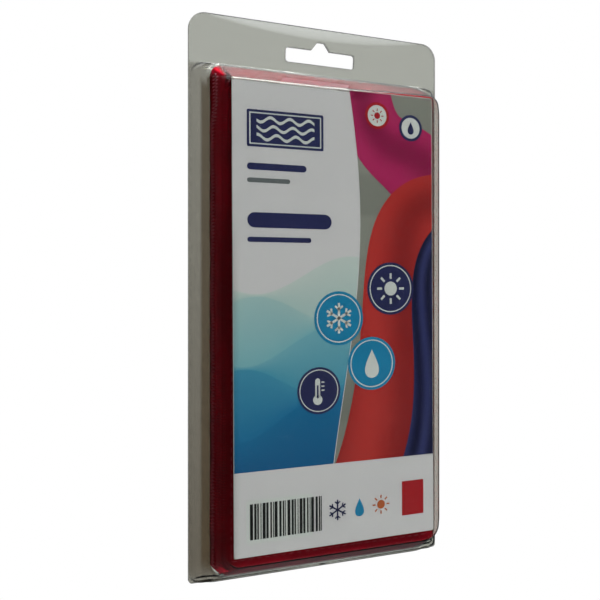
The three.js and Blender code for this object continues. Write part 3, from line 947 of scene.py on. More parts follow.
def side_gusset_skin(side, share, depth, height):
    """Distance of a side gusset's outer face from the middle of the pack."""
    pull = 0.07 * math.cos(2 * math.pi * height / STITCH) * smooth((0.58 - share) / 0.1)
    slack = 0.16 * noise.noise(Vector((share * 1.5, 0.3, height / 9)))
    lean = drawn_in(side, height) * smooth((share - 0.4) / 0.5)
    return wallet_half(depth) + plump(share) + pull + slack + 0.02 - lean


def gusset_front(height):
    """Depth of a side gusset's front edge: the upper end slopes back under the tray's upper wall."""
    return min(GUSSET_FRONT, TRAY_RIM + TRAY_DEEP * (WALLET_TOP - height) / TOP_LEAN)


def gusset_place(share, row):
    """A side gusset's foot, and the height and depth of a place on it, at a share of its depth."""
    foot = max(GUSSET_LOWEST, wallet_foot(GUSSET_BACK + GUSSET_DEEP * share) + 0.1)
    height = foot + (GUSSET_TOP - foot) * row / GUSSET_ROWS
    return foot, height, GUSSET_BACK + (gusset_front(height) - GUSSET_BACK) * share


def gusset_inside(height):
    """Distance of a side gusset's inner face from the middle of the pack: it makes way for the flap."""
    return GUSSET_INSIDE + FLAP_ROOM * smooth((height - FLAP_LEVEL) / 0.8)


def side_gusset(name, side):
    """A plump roll from the tray's sloping foot to its upper wall, rounded off at both ends."""
    loops = []
    for row in range(GUSSET_ROWS + 1):
        loop = []
        for step in range(GUSSET_STEPS + 1):
            share = step / GUSSET_STEPS
            foot, height, depth = gusset_place(share, row)
            round_off = min(1, (height - foot) / 4.2, (GUSSET_TOP - height) / 4.6)
            full = math.sqrt(max(0, 1 - (1 - round_off) ** 2))
            inside = gusset_inside(height)
            out_x = inside + (side_gusset_skin(side, share, depth, height) - inside) * (0.15 + 0.85 * full)
            loop.append(spot(side * out_x, depth, height))
        for share in INNER_SHARES:
            foot, height, depth = gusset_place(share, row)
            loop.append(spot(side * gusset_inside(height), depth, height))
        loops.append(loop)
    return swept(name, loops)


def foot_gusset_skin(share, depth, x):
    """Height of the foot gusset's outer face, close above the tray's sloping foot."""
    slack = 0.12 * noise.noise(Vector((share * 1.5, 7.3, x / 9)))
    pull = 0.06 * math.cos(2 * math.pi * x / STITCH) * smooth((0.58 - share) / 0.1)
    return wallet_foot(depth) - 0.8 * plump(share) - slack - pull + 0.1


def foot_gusset(name):
    """The roll along the foot, between the two side rolls."""
    loops = []
    for column in range(FOOT_COLUMNS + 1):
        x = FOOT_HALF * (2 * column / FOOT_COLUMNS - 1)
        full = math.sqrt(1 - (1 - min(1, (FOOT_HALF - abs(x)) / 1.2)) ** 2)
        loop = []
        for step in range(GUSSET_STEPS + 1):
            share = step / GUSSET_STEPS
            depth = GUSSET_BACK + GUSSET_DEEP * share
            height = foot_gusset_skin(share, depth, x)
            loop.append(spot(x, depth, height + (1 - full) * 0.6))
        for share in INNER_SHARES:
            loop.append(spot(x, GUSSET_BACK + GUSSET_DEEP * share, FOOT_INSIDE))
        loops.append(loop)
    return swept(name, loops)


def spin(points, faces, way, radius, up, sides=6):
    """Adds one round thread along a run of places, closed at both ends."""
    first = len(points)
    for index, here in enumerate(way):
        ahead = (way[min(index + 1, len(way) - 1)] - way[max(index - 1, 0)]).normalized()
        across = ahead.cross(up).normalized()
        over = across.cross(ahead)
        for side in range(sides):
            turn = 2 * math.pi * side / sides
            points.append(here + (across * math.cos(turn) + over * math.sin(turn)) * radius * MM)
    for index in range(len(way) - 1):
        for side in range(sides):
            a = first + index * sides + side
            b = first + index * sides + (side + 1) % sides
            faces.append((a, b, b + sides, a + sides))
    last = first + (len(way) - 1) * sides
    faces.append(tuple(range(first + sides - 1, first - 1, -1)))
    faces.append(tuple(range(last, last + sides)))


def thread_mesh(name, ways, radius, up):
    """One mesh of several threads."""
    points, faces = [], []
    for way in ways:
        spin(points, faces, way, radius, up)
    shape = bpy.data.meshes.new(name)
    shape.from_pydata(points, [], faces)
    shape.shade_smooth()
    shape.update()
    return shape


def side_ladder(side):
    """Oversewing down a side gusset: one thread that crosses its rear half to and fro."""
    way = []
    fine = 14
    for step in range(int((LADDER_TOP - LADDER_FOOT) / STITCH * fine)):
        turn = step / fine % 1
        across = 2 * turn if turn < 0.5 else 2 - 2 * turn
        height = LADDER_FOOT + (step / fine + 0.12 * noise.noise(Vector((step / 40, 0.5, 0)))) * STITCH
        share = 0.05 + 0.28 * smooth((height - 183) / 11) + 0.44 * across
        depth = GUSSET_BACK + (gusset_front(height) - GUSSET_BACK) * share
        way.append(spot(side * (side_gusset_skin(side, share, depth, height) + 0.1), depth, height))
    return [way]


def foot_ladder():
    """The same along the foot."""
    ways = []
    for stitch in range(int(88 / STITCH)):
        start = -44 + stitch * STITCH
        way = []
        for step in range(8):
            share = 0.02 + 0.5 * step / 7
            depth = GUSSET_BACK + GUSSET_DEEP * share
            x = start + 0.35 * step / 7
            way.append(spot(x, depth, foot_gusset_skin(share, depth, x) - 0.08))
        ways.append(way)
    return ways


def thread_finish(name, colour):
    """Twisted sewing thread: fine slanting ply lines, their grooves painted darker as shade, and a soft
    shine.
    """
    made, tree = finish_start(name)
    place = parted(tree)
    slant = reckon(tree, "ADD", reckon(tree, "ADD", place["X"], place["Y"]), place["Z"])
    ply = reckon(tree, "SINE", reckon(tree, "MULTIPLY", slant, 42000.0))
    # The grooves between the plies are painted darker: painted shade.
    dark = tuple(0.6 * level for level in colour)
    shades = {0: spread(tree, ply, -1, 1), 6: (*dark, 1), 7: (*colour, 1)}
    twist = lay(tree, "ShaderNodeMix", shades, data_type="RGBA").outputs[2]
    raised = lay(tree, "ShaderNodeBump", {"Height": ply, "Strength": 0.3, "Distance": 0.00005})
    surface(
        tree,
        {"Base Color": twist, "Roughness": 0.55, "Sheen Weight": 0.25, "Normal": raised.outputs[0]},
    )
    return made


red_thread = thread_finish("red_thread", tone(190, 58, 78))
UP = Vector((0, 0, 1))
ACROSS = Vector((1, 0, 0))
for hand, side in (("left", -1), ("right", 1)):
    strip = piece(f"{hand}_gusset_cloth", side_gusset(hand, side), "rear_half", "red_cover_cloth", red_cloth)
    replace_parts(strip, f"{hand}_gusset")
    ladder = thread_mesh(f"{hand}_ladder", side_ladder(side), 0.2, UP)
    piece(f"{hand}_gusset_oversewing", ladder, "rear_half", "red_cover_cloth", red_thread)
foot_strip = piece("foot_gusset_cloth", foot_gusset("foot"), "rear_half", "red_cover_cloth", red_cloth)
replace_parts(foot_strip, "bottom_gusset")
ladder = thread_mesh("foot_ladder", foot_ladder(), 0.17, ACROSS)
piece("foot_gusset_oversewing", ladder, "rear_half", "red_cover_cloth", red_thread)

# Inner pouch: two walls of pale cotton, each a panel and a lining quilted into four upright channels,
# with a bound edge along the sides and the foot. The channels hold pads of water-taking crystals.
pale_cloth = cloth_finish("pouch_cotton", tone(214, 208, 196), tone(196, 190, 178), 0.6, 0.15, 0.4, 0.15)
pouch_low, pouch_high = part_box("pouch_back_panel")
CHANNEL = (pouch_high.x - pouch_low.x) / 4


def quilted(sign):
    """Relief of a pouch layer: each channel swells, and the sewn lines between them pull in."""

    def relief(x, z):
        share = ((x - pouch_low.x) / CHANNEL) % 1
        swell = 0.22 * math.sin(math.pi * share) ** 0.6 - 0.1
        return sign * (swell + 0.05 * ripple_of(x, z, 11, 5)), 0.8

    return relief


for node, sign in (
    ("pouch_back_panel", -1),
    ("pouch_back_lining", 1),
    ("pouch_front_lining", -1),
    ("pouch_front_panel", 1),
):
    wall = soft_panel(node, 2, 1.7, 0.8, quilted(sign))
    layer = piece(f"{node}_cloth", wall, "rear_half", "pouch_cloth", pale_cloth)
    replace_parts(layer, node)
for node in ("pouch_bottom_seam", "pouch_left_seam", "pouch_right_seam"):
    bound = soft_panel(node, 0.2, 0.8, 1.0, lambda x, z: (0.1 * ripple_of(x, z, 4, 8), 0.94))
    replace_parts(piece(f"{node}_binding", bound, "rear_half", "pouch_cloth", pale_cloth), node)

gel_cloth = cloth_finish("crystal_pad_cloth", tone(204, 214, 216), tone(186, 198, 202), 0.8, 0.3, 0.35, 0.1)
FILL_SCALE = 20
FILL_MOMENTS = 20


def slack_pad(x, z):
    """A pad as it is sewn, before its grains swell: thin, and uneven enough to crease as it fills."""
    return 0.08 * ripple_of(x, z, 7, 11), 0.42


def sewn_pad(node):
    """A slack pad, enlarged for the cloth solver: its seam is held, and the grains swell as a pressure."""
    low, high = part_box(node)
    shape = soft_panel(node, 2, 2.4, 1.5, slack_pad)
    for vertex in shape.vertices:
        vertex.co = (vertex.co - (low + high) / 2) * FILL_SCALE
    sewn = bpy.data.objects.new(node, shape)
    scene.collection.objects.link(sewn)
    reach = (high - low) / 2 * FILL_SCALE
    seam = sewn.vertex_groups.new(name="seam")
    for vertex in shape.vertices:
        if min(reach.x - abs(vertex.co.x), reach.z - abs(vertex.co.z)) < 0.02:
            seam.add([vertex.index], 1.0, "REPLACE")
    filling = sewn.modifiers.new("filling", "CLOTH")
    filling.settings.quality = 5
    filling.settings.vertex_group_mass = "seam"
    filling.settings.use_pressure = True
    filling.settings.uniform_pressure_force = 0.5
    filling.settings.effector_weights.gravity = 0
    return sewn


def filled_pad(node, sewn):
    """The pad as the solver leaves it, pressed flat where it meets its channel and lumpy with grains."""
    low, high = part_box(node)
    room = (high - low) / 2
    shape = bpy.data.meshes.new_from_object(sewn.evaluated_get(bpy.context.evaluated_depsgraph_get()))
    for vertex in shape.vertices:
        place = vertex.co / FILL_SCALE
        lump = 1 - 0.1 * abs(noise.noise((place + low) * 420))
        for axis in range(3):
            limit = room[axis] * (lump if axis == 1 else 1)
            place[axis] = max(-limit, min(limit, place[axis]))
        vertex.co = (low + high) / 2 + place
    shape.name = f"{node}_pillow"
    return shape


sewn_pads = {}
for column in range(1, 5):
    for wall in ("back", "front"):
        sewn_pads[f"{wall}_gel_pad_{column}"] = sewn_pad(f"{wall}_gel_pad_{column}")
for moment in range(1, FILL_MOMENTS + 1):
    scene.frame_set(moment)
filled_pads = {node: filled_pad(node, sewn) for node, sewn in sewn_pads.items()}
for sewn in sewn_pads.values():
    bpy.data.objects.remove(sewn)
scene.frame_set(1)
for node, shape in filled_pads.items():
    pad = piece(f"{node}_pillow", shape, "rear_half", "gel_crystals", gel_cloth)
    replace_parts(pad, node)
    pad.modifiers.new("finer", "SUBSURF").levels = 1
    settle(pad)

# Front panel of the cover, and the loop half of the touch fastener sewn on it near the top.
# The panel is the same doubled red cloth, topstitched close to its rim.
front_low, front_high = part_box("cover_front_panel")


def front_cover_relief(x, z):
    """A panel swollen by the pouch, puckered beside its rim and with a sewn line sunk in."""
    near = min(x - front_low.x, front_high.x - x, z - front_low.z, front_high.z - z) / MM
    swell = 0.1 * smooth(near / 18) * (0.6 + 0.4 * ripple_of(x, z, 26, 2))
    pucker = 0.05 * math.sin((x + z) / MM * 1.6) * math.exp(-((near - 4.2) / 2.0) ** 2)
    return swell + pucker - 0.12 * math.exp(-((near - 3.0) / 0.6) ** 2), 0.95


def lean_panel(place):
    """Draws a place near the panel's right edge in, with the gusset beside it."""
    near = smooth((place.x / MM - 38) / 8)
    place.x -= drawn_in(1, place.z / MM + PEAK) * near * MM


front_shape = soft_panel("cover_front_panel", 5, 1.3, 1.0, front_cover_relief)
for corner in front_shape.vertices:
    lean_panel(corner.co)
front_shape.update()
front_cover = piece("front_cover_cloth", front_shape, "rear_half", "red_cover_cloth", red_cloth)
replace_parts(front_cover, "cover_front_panel")

tape_pile, given, out = effect(
    "tape_pile", {"Pile": (0.02, 0.02, 0.02, 1), "Size": 1000.0}, ("Color", "Height")
)
cells = lay(
    tape_pile,
    "ShaderNodeTexVoronoi",
    {"Vector": stretched(tape_pile, 1, 1, 1), "Scale": given["Size"], "Randomness": 0.8},
)
tuft = spread(tape_pile, cells.outputs["Distance"], 0.1, 0.7, 1.0, 0.0)
# Colour darker between the tufts: painted shade.
shaded = reckon(tape_pile, "MULTIPLY_ADD", tuft, 0.9, 0.5)
tufted = lay(tape_pile, "ShaderNodeVectorMath", {0: given["Pile"], 3: shaded}, operation="SCALE").outputs[0]
tape_pile.links.new(tufted, out["Color"])
tape_pile.links.new(tuft, out["Height"])


def tape_finish(name, colour, size, depth):
    """Touch-fastener tape: a field of hooks or loops on a woven ground."""
    made, tree = finish_start(name)
    pile = use(tree, tape_pile, {"Pile": (*colour, 1), "Size": size})
    raised = lay(tree, "ShaderNodeBump", {"Height": pile["Height"], "Strength": 0.9, "Distance": depth})
    surface(
        tree,
        {"Base Color": pile["Color"], "Roughness": 0.6, "Sheen Weight": 0.3, "Normal": raised.outputs[0]},
    )
    return made


def tape_relief(node):
    """Tape whose two long selvedges lie flat beside the raised field."""
    low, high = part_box(node)

    def relief(x, z):
        near = min(z - low.z, high.z - z, x - low.x, high.x - x) / MM
        return 0.0, 0.55 + 0.45 * smooth((near - 0.7) / 0.6)

    return relief


loop_tape = piece(
    "loop_tape",
    soft_panel("loop_strip", 0.4, 0.7, 0.4, tape_relief("loop_strip")),
    "rear_half",
    "touch_fastener",
    tape_finish("loop_pile", tone(74, 20, 30), 1500.0, 0.0003),
)
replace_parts(loop_tape, "loop_strip")


def topstitch(left, right, foot, top, depth, length=2.6, gap=0.8):
    """Straight machine stitches round an oblong, each a short thread that dips in at its ends."""
    ways = []
    corners = [(left, foot), (right, foot), (right, top), (left, top)]
    for (x, height), (far_x, far_height) in zip(corners, corners[1:] + corners[:1]):
        span = math.hypot(far_x - x, far_height - height)
        count = max(1, int(span / (length + gap)))
        for stitch in range(count):
            way = []
            for step in range(5):
                share = (stitch + (step / 4) * length / (length + gap)) / count
                dip = 0.14 * abs(step / 2 - 1) ** 3
                here_x, here_height = x + (far_x - x) * share, height + (far_height - height) * share
                way.append(spot(here_x, depth - dip, here_height))
            ways.append(way)
    return ways


def rim_stitches(node, side_inset, end_inset, lift):
    """Topstitching on the front of a piece, set in from its sides and ends."""
    low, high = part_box(node)
    left, right = low.x / MM + side_inset, high.x / MM - side_inset
    foot, top = low.z / MM + PEAK + end_inset, high.z / MM + PEAK - end_inset
    return topstitch(left, right, foot, top, -low.y / MM + lift)


FORWARD = Vector((0, -1, 0))
tape_rows = rim_stitches("loop_strip", 0.7, 0.6, 0.02)
tape_seam = thread_mesh("loop_tape_stitches", tape_rows, 0.13, FORWARD)
piece("loop_tape_stitches", tape_seam, "rear_half", "touch_fastener", red_thread)
panel_rows = rim_stitches("cover_front_panel", 3, 3, -0.1)
for row in panel_rows:
    for place in row:
        lean_panel(place)
panel_seam = thread_mesh("front_cover_stitches", panel_rows, 0.15, FORWARD)
piece("front_cover_stitches", panel_seam, "rear_half", "red_cover_cloth", red_thread)

# Flap: one strip of the red cloth that runs over the mouth and down the front, creased at two places.
# Its lower edge is hemmed; inside it is the hook tape, and outside a small blank woven label.
FLAP_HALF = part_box("flap_panel")[1].x / MM
BACK_CREASE = (3.6, 208.876)
FRONT_CREASE = (17.45, 201.67)
FLAP_END = (17.45, 149.1)
TOP_STOPS = 1.92  # short of the front crease, where the top strip gives way to the front panel
FRONT_STARTS = 1.9
slope = math.hypot(FRONT_CREASE[0] - BACK_CREASE[0], FRONT_CREASE[1] - BACK_CREASE[1])
slope_way = ((FRONT_CREASE[0] - BACK_CREASE[0]) / slope, (FRONT_CREASE[1] - BACK_CREASE[1]) / slope)


def bent_cloth(name, run, radius, thick, cell=1.4):
    """Cloth bent along a run of (depth, height) places and level across the pack."""
    rows = []
    for start, turn, end in zip(run, run[1:], run[2:]):
        before = Vector(start) - Vector(turn)
        after = Vector(end) - Vector(turn)
        first = Vector(turn) + before.normalized() * min(radius, before.length * 0.9)
        last = Vector(turn) + after.normalized() * min(radius, after.length * 0.9)
        legs = ((Vector(start), first, False), (first, last, True), (last, Vector(end), False))
        for near, far, fine in legs:
            count = 8 if fine else max(2, round((far - near).length / cell))
            for step in range(count):
                share = step / count
                if fine:
                    rows.append(near.lerp(Vector(turn), share).lerp(Vector(turn).lerp(far, share), share))
                else:
                    rows.append(near.lerp(far, share))
    rows.append(Vector(run[-1]))
    columns = round(2 * FLAP_HALF / cell)
    loops = []
    for index, here in enumerate(rows):
        ahead = (rows[min(index + 1, len(rows) - 1)] - rows[max(index - 1, 0)]).normalized()
        out = Vector((ahead.y, -ahead.x))
        loop = []
        for face, order in ((1, range(columns + 1)), (-1, range(columns, -1, -1))):
            for column in order:
                x = FLAP_HALF * (2 * column / columns - 1)
                near = min(FLAP_HALF - abs(x), 1.0)
                roll = 0.35 + 0.65 * math.sqrt(1 - (1 - near) ** 2)
                wave = 0.07 * noise.noise(Vector((x / 14, here.x / 10 + 4, here.y / 14)))
                at = here + out * (face * thick / 2 * roll + wave)
                loop.append(spot(x, at.x, at.y))
        loops.append(loop)
    return swept(name, loops)


def along_slope(distance):
    """The depth and height of a place on the slope, so far from the back crease."""
    return (BACK_CREASE[0] + slope_way[0] * distance, BACK_CREASE[1] + slope_way[1] * distance)


spine_run = [(3.6, 208.3), (3.75, 209.45), along_slope(slope - TOP_STOPS)]
spine = bent_cloth("flap_top", spine_run, radius=0.55, thick=0.5)
flap_top = piece("flap_top_cloth", spine, None, "red_cover_cloth", red_cloth)
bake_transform(flap_top)
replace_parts(flap_top, "flap_spine")

front_run = [along_slope(slope - FRONT_STARTS), FRONT_CREASE, FLAP_END]
front = bent_cloth("flap_front", front_run, radius=1.6, thick=0.55)
flap_front = piece("flap_front_cloth", front, None, "red_cover_cloth", red_cloth)
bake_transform(flap_front)
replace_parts(flap_front, "flap_panel")

hem = piece(
    "flap_hem_roll",
    soft_panel("flap_hem", 0.2, 0.8, 1.3, lambda x, z: (0.05 * ripple_of(x, z, 8, 6), 0.96), 0.2),
    "flap_front",
    "red_cover_cloth",
    red_cloth,
)
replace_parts(hem, "flap_hem")
hook_tape = piece(
    "hook_tape",
    soft_panel("hook_strip", 0.4, 0.7, 0.4, tape_relief("hook_strip")),
    "flap_front",
    "touch_fastener",
    tape_finish("hook_field", tone(44, 16, 24), 1100.0, 0.0004),
)
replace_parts(hook_tape, "hook_strip")
label_cloth = cloth_finish("label_weave", tone(226, 226, 222), tone(206, 208, 206), 0.28, 0.1, 0.3, 0.2)
label_shape = soft_panel("woven_label", 0.2, 0.5, 0.4)
label = piece("blank_label", label_shape, "flap_front", "label_weave", label_cloth)
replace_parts(label, "woven_label")

hem_rows = topstitch(-FLAP_HALF + 1, FLAP_HALF - 1, 149.9, 151.2, 17.78, 2.4, 0.8)
hem_seam = thread_mesh("flap_hem_stitches", hem_rows, 0.13, FORWARD)
piece("flap_hem_stitches", hem_seam, "flap_front", "red_cover_cloth", red_thread)

# Insert card: grey-backed board with a white coated face, loose behind the tray's flat front and a
# little turned. The print is ink laid on the board: a grey field with cloth ribbons, cool waves,
# round signs and a swatch.
CARD_WIDTH = 89.6
CARD_HEIGHT = 185.6
CARD_CORNER = 0.5
CARD_TURN = math.radians(0.3)
CARD_STRETCH = 1.0022
CARD_MIDDLE = 108.55
CARD_FACE = 18.87
INK_LAYER = 0.022
board = paper_finish("grey_backed_board", tone(206, 203, 196), 0.04)


def on_card(across, up, layer):
    """A place on the printed face, from the card's lower left corner, on one of the layers of ink."""
    x, height = across - CARD_WIDTH / 2, up - CARD_HEIGHT / 2
    turned = Vector((x, height)) @ Matrix.Rotation(-CARD_TURN, 2)
    return spot(turned.x, CARD_FACE + INK_LAYER * layer, CARD_STRETCH * turned.y + CARD_MIDDLE)


def cut_board():
    """The die-cut board: square corners, edges a little crushed by the die."""
    loops = []
    for depth, crush in ((18.86, 0.12), (18.82, 0.02), (18.66, 0.0), (18.5, 0.02), (18.46, 0.12)):
        edge = []
        for across, up, start in (
            (CARD_WIDTH - CARD_CORNER, CARD_CORNER, -90),
            (CARD_WIDTH - CARD_CORNER, CARD_HEIGHT - CARD_CORNER, 0),
            (CARD_CORNER, CARD_HEIGHT - CARD_CORNER, 90),
            (CARD_CORNER, CARD_CORNER, 180),
        ):
            for step in range(4):
                turn = math.radians(start + 30 * step)
                reach = CARD_CORNER - crush
                place = on_card(across + reach * math.cos(turn), up + reach * math.sin(turn), 0)
                edge.append(Vector((place.x, -depth * MM, place.z)))
        loops.append(edge)
    return swept("cut_board", loops)


card = piece("insert_board", cut_board(), "front_half", "printed_card", board)
card.data.set_sharp_from_angle(angle=math.radians(40))
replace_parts(card, "insert_card")


def field_edge(up):
    """The curved line between the white side of the card and the grey field."""
    return 47 + 8 * math.sin((up - 60) / 46)


def card_right(up):
    """The right edge of the print, inside the card's cut edge and round corners."""
    gap = min(up, CARD_HEIGHT - up)
    inset = 0.0
    if gap < CARD_CORNER:
        inset = CARD_CORNER - math.sqrt(max(0, CARD_CORNER**2 - (CARD_CORNER - gap) ** 2))
    return CARD_WIDTH - 0.25 - inset


card_ink = new_print(on_card)
oblong(card_ink, 0.1, 0.1, CARD_WIDTH - 0.1, CARD_HEIGHT - 0.1, 1.4, 0, tone(243, 240, 246))
STRIP = 33.0
heights = [STRIP + (CARD_HEIGHT - 0.25 - STRIP) * step / 70 for step in range(71)]
field = [
    [(field_edge(up) + (card_right(up) - field_edge(up)) * step / 10, up) for step in range(11)]
    for up in reversed(heights)
]


def plank(down, side):
    """Pale grey boards, each a little different."""
    step = 0.94 + 0.1 * math.sin(int(down * 9) * 2.4)
    grey = mixed(tone(166, 168, 160), tone(140, 142, 134), down * 0.5 + side * 0.3)
    return tuple(level * step for level in grey)


wash(card_ink, field, 1, plank)


def ribbon(ink, way, widths, layer, light, dark, folds):
    """A cloth ribbon along a run of places; its shade turns with each fold."""
    rows = []
    steps = 60
    for step in range(steps + 1):
        share = step / steps
        rest = 1 - share
        place = [
            rest**3 * p + 3 * rest**2 * share * q + 3 * rest * share**2 * r + share**3 * s
            for p, q, r, s in zip(*way)
        ]
        heading = [
            3 * rest**2 * (q - p) + 6 * rest * share * (r - q) + 3 * share**2 * (s - r)
            for p, q, r, s in zip(*way)
        ]
        length = math.hypot(*heading)
        width = widths[0] + (widths[1] - widths[0]) * share
        row = []
        for side in range(13):
            off = width * (side / 12 - 0.5)
            up = min(CARD_HEIGHT - 0.3, max(STRIP, place[1] - heading[0] / length * off))
            across = place[0] + heading[1] / length * off
            row.append((min(card_right(up), max(field_edge(up), across)), up))
        rows.append(row)

    def satin(share, side):
        """The ribbon's shade, lighter on the crown of each fold."""
        turn = 0.5 + 0.5 * math.sin(side * folds * math.pi + share * 3.0)
        return mixed(dark, light, turn)

    wash(ink, rows, layer, satin)


RIBBONS = (
    (((58, 188), (60, 150), (84, 172), (98, 128)), (22, 40), tone(206, 44, 112), tone(160, 26, 84), 2.4),
    (((100, 138), (58, 140), (86, 92), (62, 26)), (30, 40), tone(214, 60, 56), tone(166, 38, 40), 2.2),
    (((96, 128), (72, 110), (98, 70), (80, 26)), (10, 15), tone(60, 66, 122), tone(28, 30, 68), 3.6),
)
for ribbon_layer, (guide, widths, light, dark, folds) in enumerate(RIBBONS, 2):
    ribbon(card_ink, guide, widths, ribbon_layer, light, dark, folds)

WAVES = (
    (108, tone(236, 244, 242)),
    (94, tone(196, 226, 226)),
    (80, tone(142, 206, 220)),
    (66, tone(82, 172, 206)),
    (51, tone(32, 130, 186)),
    (STRIP, tone(18, 104, 164)),
)


def wave_line(base, share):
    """Height of the line between two waves, which is level at the foot of the picture."""
    if base == STRIP:
        return STRIP
    return base + 6.5 * math.sin(share * 4.4 + base * 0.21) + 3 * share


for (high_base, high_tone), (low_base, low_tone) in zip(WAVES, WAVES[1:]):
    rows = []
    for down in range(7):
        row = []
        for step in range(33):
            share = step / 32
            top_line, foot_line = wave_line(high_base, share), wave_line(low_base, share)
            up = top_line + (foot_line - top_line) * down / 6
            row.append((0.25 + (field_edge(up) - 0.55) * share, up))
        rows.append(row)
    wash(card_ink, rows, 1, lambda down, side, a=high_tone, b=low_tone: mixed(a, b, 0.25 + 0.75 * down))

SIGN_GROUND, SIGN_RING, SIGN_MARK = 5, 6, 7  # layers of ink


def thermometer(ink, across, up, size, layer, colour, ground):
    """A thermometer with three marks."""
    stem, bore = 0.2 * size, 0.07 * size
    oblong(ink, across - stem, up - 0.5 * size, across + stem, up + size, stem, layer, colour)
    roundel(ink, across, up - 0.6 * size, 0, 0.38 * size, layer, colour, 28)
    oblong(ink, across - bore, up - 0.5 * size, across + bore, up + 0.5 * size, bore, layer + 1, ground)
    for mark in range(3):
        level = up + (0.1 + 0.3 * mark) * size
        stroke(ink, across + 0.3 * size, level, across + 0.55 * size, level, size * 0.1, layer, colour)


def badge(ink, across, up, radius, ground):
    """A round sign with a thin white ring inside its rim."""
    roundel(ink, across, up, 0, radius, SIGN_GROUND, ground)
    roundel(ink, across, up, radius * 0.86, radius * 0.9, SIGN_RING, WHITE)


def small_badge(ink, across, up, colour):
    """A white disc with a coloured rim."""
    roundel(ink, across, up, 0, 5.6, SIGN_GROUND, colour)
    roundel(ink, across, up, 0, 4.4, SIGN_RING, WHITE)


# Four round signs in the middle of the card and two small ones near its top.
badge(card_ink, 45, 92, 11, CYAN)
snow(card_ink, 45, 92, 6.2, SIGN_MARK, WHITE)
badge(card_ink, 69, 104, 11, NAVY)
sun(card_ink, 69, 104, 6.4, SIGN_MARK, WHITE)
badge(card_ink, 36, 63, 9.5, NAVY)
thermometer(card_ink, 35.4, 62.6, 5.4, SIGN_MARK, WHITE, NAVY)
badge(card_ink, 60, 73, 11, CYAN)
drop(card_ink, 60, 73, 6.0, SIGN_MARK, WHITE)
small_badge(card_ink, 79, 172, NAVY)
drop(card_ink, 79, 172, 2.7, SIGN_MARK, NAVY)
small_badge(card_ink, 63, 176, RED)
sun(card_ink, 63, 176, 3.0, SIGN_MARK, RED)

# A framed sign of three crests, and plain bars for a heading and its lines.
oblong(card_ink, 6, 159.5, 38.5, 174, 0.6, 2, NAVY)
oblong(card_ink, 7, 160.5, 37.5, 173, 0.3, 3, WHITE)
oblong(card_ink, 7.5, 161, 37, 172.5, 0.2, 4, NAVY)
for crest in range(3):
    line = [[], []]
    for step in range(41):
        across = 10 + 24.5 * step / 40
        middle = 163.4 + 3.4 * crest + 1.0 * math.sin(across * 0.77 + crest)
        line[0].append((across, middle + 0.6))
        line[1].append((across, middle - 0.6))
    wash(card_ink, line, 5, WHITE)
oblong(card_ink, 6, 150.5, 31, 153.2, 1.3, 2, NAVY)
oblong(card_ink, 6, 145.6, 24, 147.4, 0.9, 2, GREY)
oblong(card_ink, 6, 128, 42, 134, 3.0, 2, NAVY)
oblong(card_ink, 6, 122.4, 33, 124.4, 1.0, 2, NAVY)

# The white strip at the foot: a block of bars in a plain rhythm, three small signs and a red swatch.
oblong(card_ink, 5, 5, 33, 22, 0.8, 2, WHITE)
BAR_FOOT = 6.5
BAR_TOP = 20.5
BAR_BLACK = tone(36, 38, 40)
bar_left = 6.5
for index in range(24):
    width = 0.35 + 0.3 * ((index * 7 + 3) % 4)
    middle = bar_left + width / 2
    stroke(card_ink, middle, BAR_FOOT, middle, BAR_TOP, width, 3, BAR_BLACK)
    bar_left += width + 0.28 + 0.22 * ((index * 5 + 1) % 3)
snow(card_ink, 44, 14, 4.2, 3, NAVY)
drop(card_ink, 54, 14, 3.8, 3, CYAN)
sun(card_ink, 64, 14, 4.0, 3, tone(214, 110, 60))
oblong(card_ink, 74, 8, 84.5, 22.5, 0.3, 3, RED)

printed(card_ink, "card_print", "front_half", "printed_card", -1)

# Front shell: the deep tray of the same clear sheet, with a flat face, leaning walls, a rim that takes
# the plug, and the front half of the header. It opens about the fold at the foot.
TRAY_HALF = 50.95
TRAY_FOOT = 2.45
TRAY_TOP = 210.9
TRAY_FACE = TRAY_RIM + TRAY_DEEP
FOOT_CORNER = 5.6
FRONT_FLANGE = 0.5


def tray(depth, inset=0.0, foot_corner=4.0, top_corner=4.0, swell=0.0):
    """One ring of the tray's walls. Swell pushes the long walls out, as warm sheet relaxes, and the
    upper wall is a little twisted: its right end stands higher."""
    lean = (depth - TRAY_RIM) / TRAY_DEEP
    half = TRAY_HALF - SIDE_LEAN * lean - inset
    foot = TRAY_FOOT + FOOT_LEAN * lean + inset
    top = TRAY_TOP - TOP_LEAN * lean - inset
    edge = ring(depth, half, foot, top, foot_corner, top_corner)
    for point in edge:
        height = point.z / MM + PEAK
        share = smooth((height - foot) / 9) * smooth((top - height) / (40 if point.x < 0 else 7))
        twist = 1.3 * lean * smooth((point.x / MM + 10) / 50) * smooth((height - 150) / 45)
        point.x += math.copysign(swell * share * smooth((abs(point.x) / MM - half + 4) / 4) * MM, point.x)
        point.z += twist * MM
    return edge


def rim(depth, side_inset, end_inset):
    """One ring of the rim that takes the rear shell's plug."""
    half, foot, top = RIM_HALF - side_inset, RIM_FOOT + end_inset, RIM_TOP - end_inset
    return ring(depth, half, foot, top, foot_corner=3.0, top_corner=5.2)


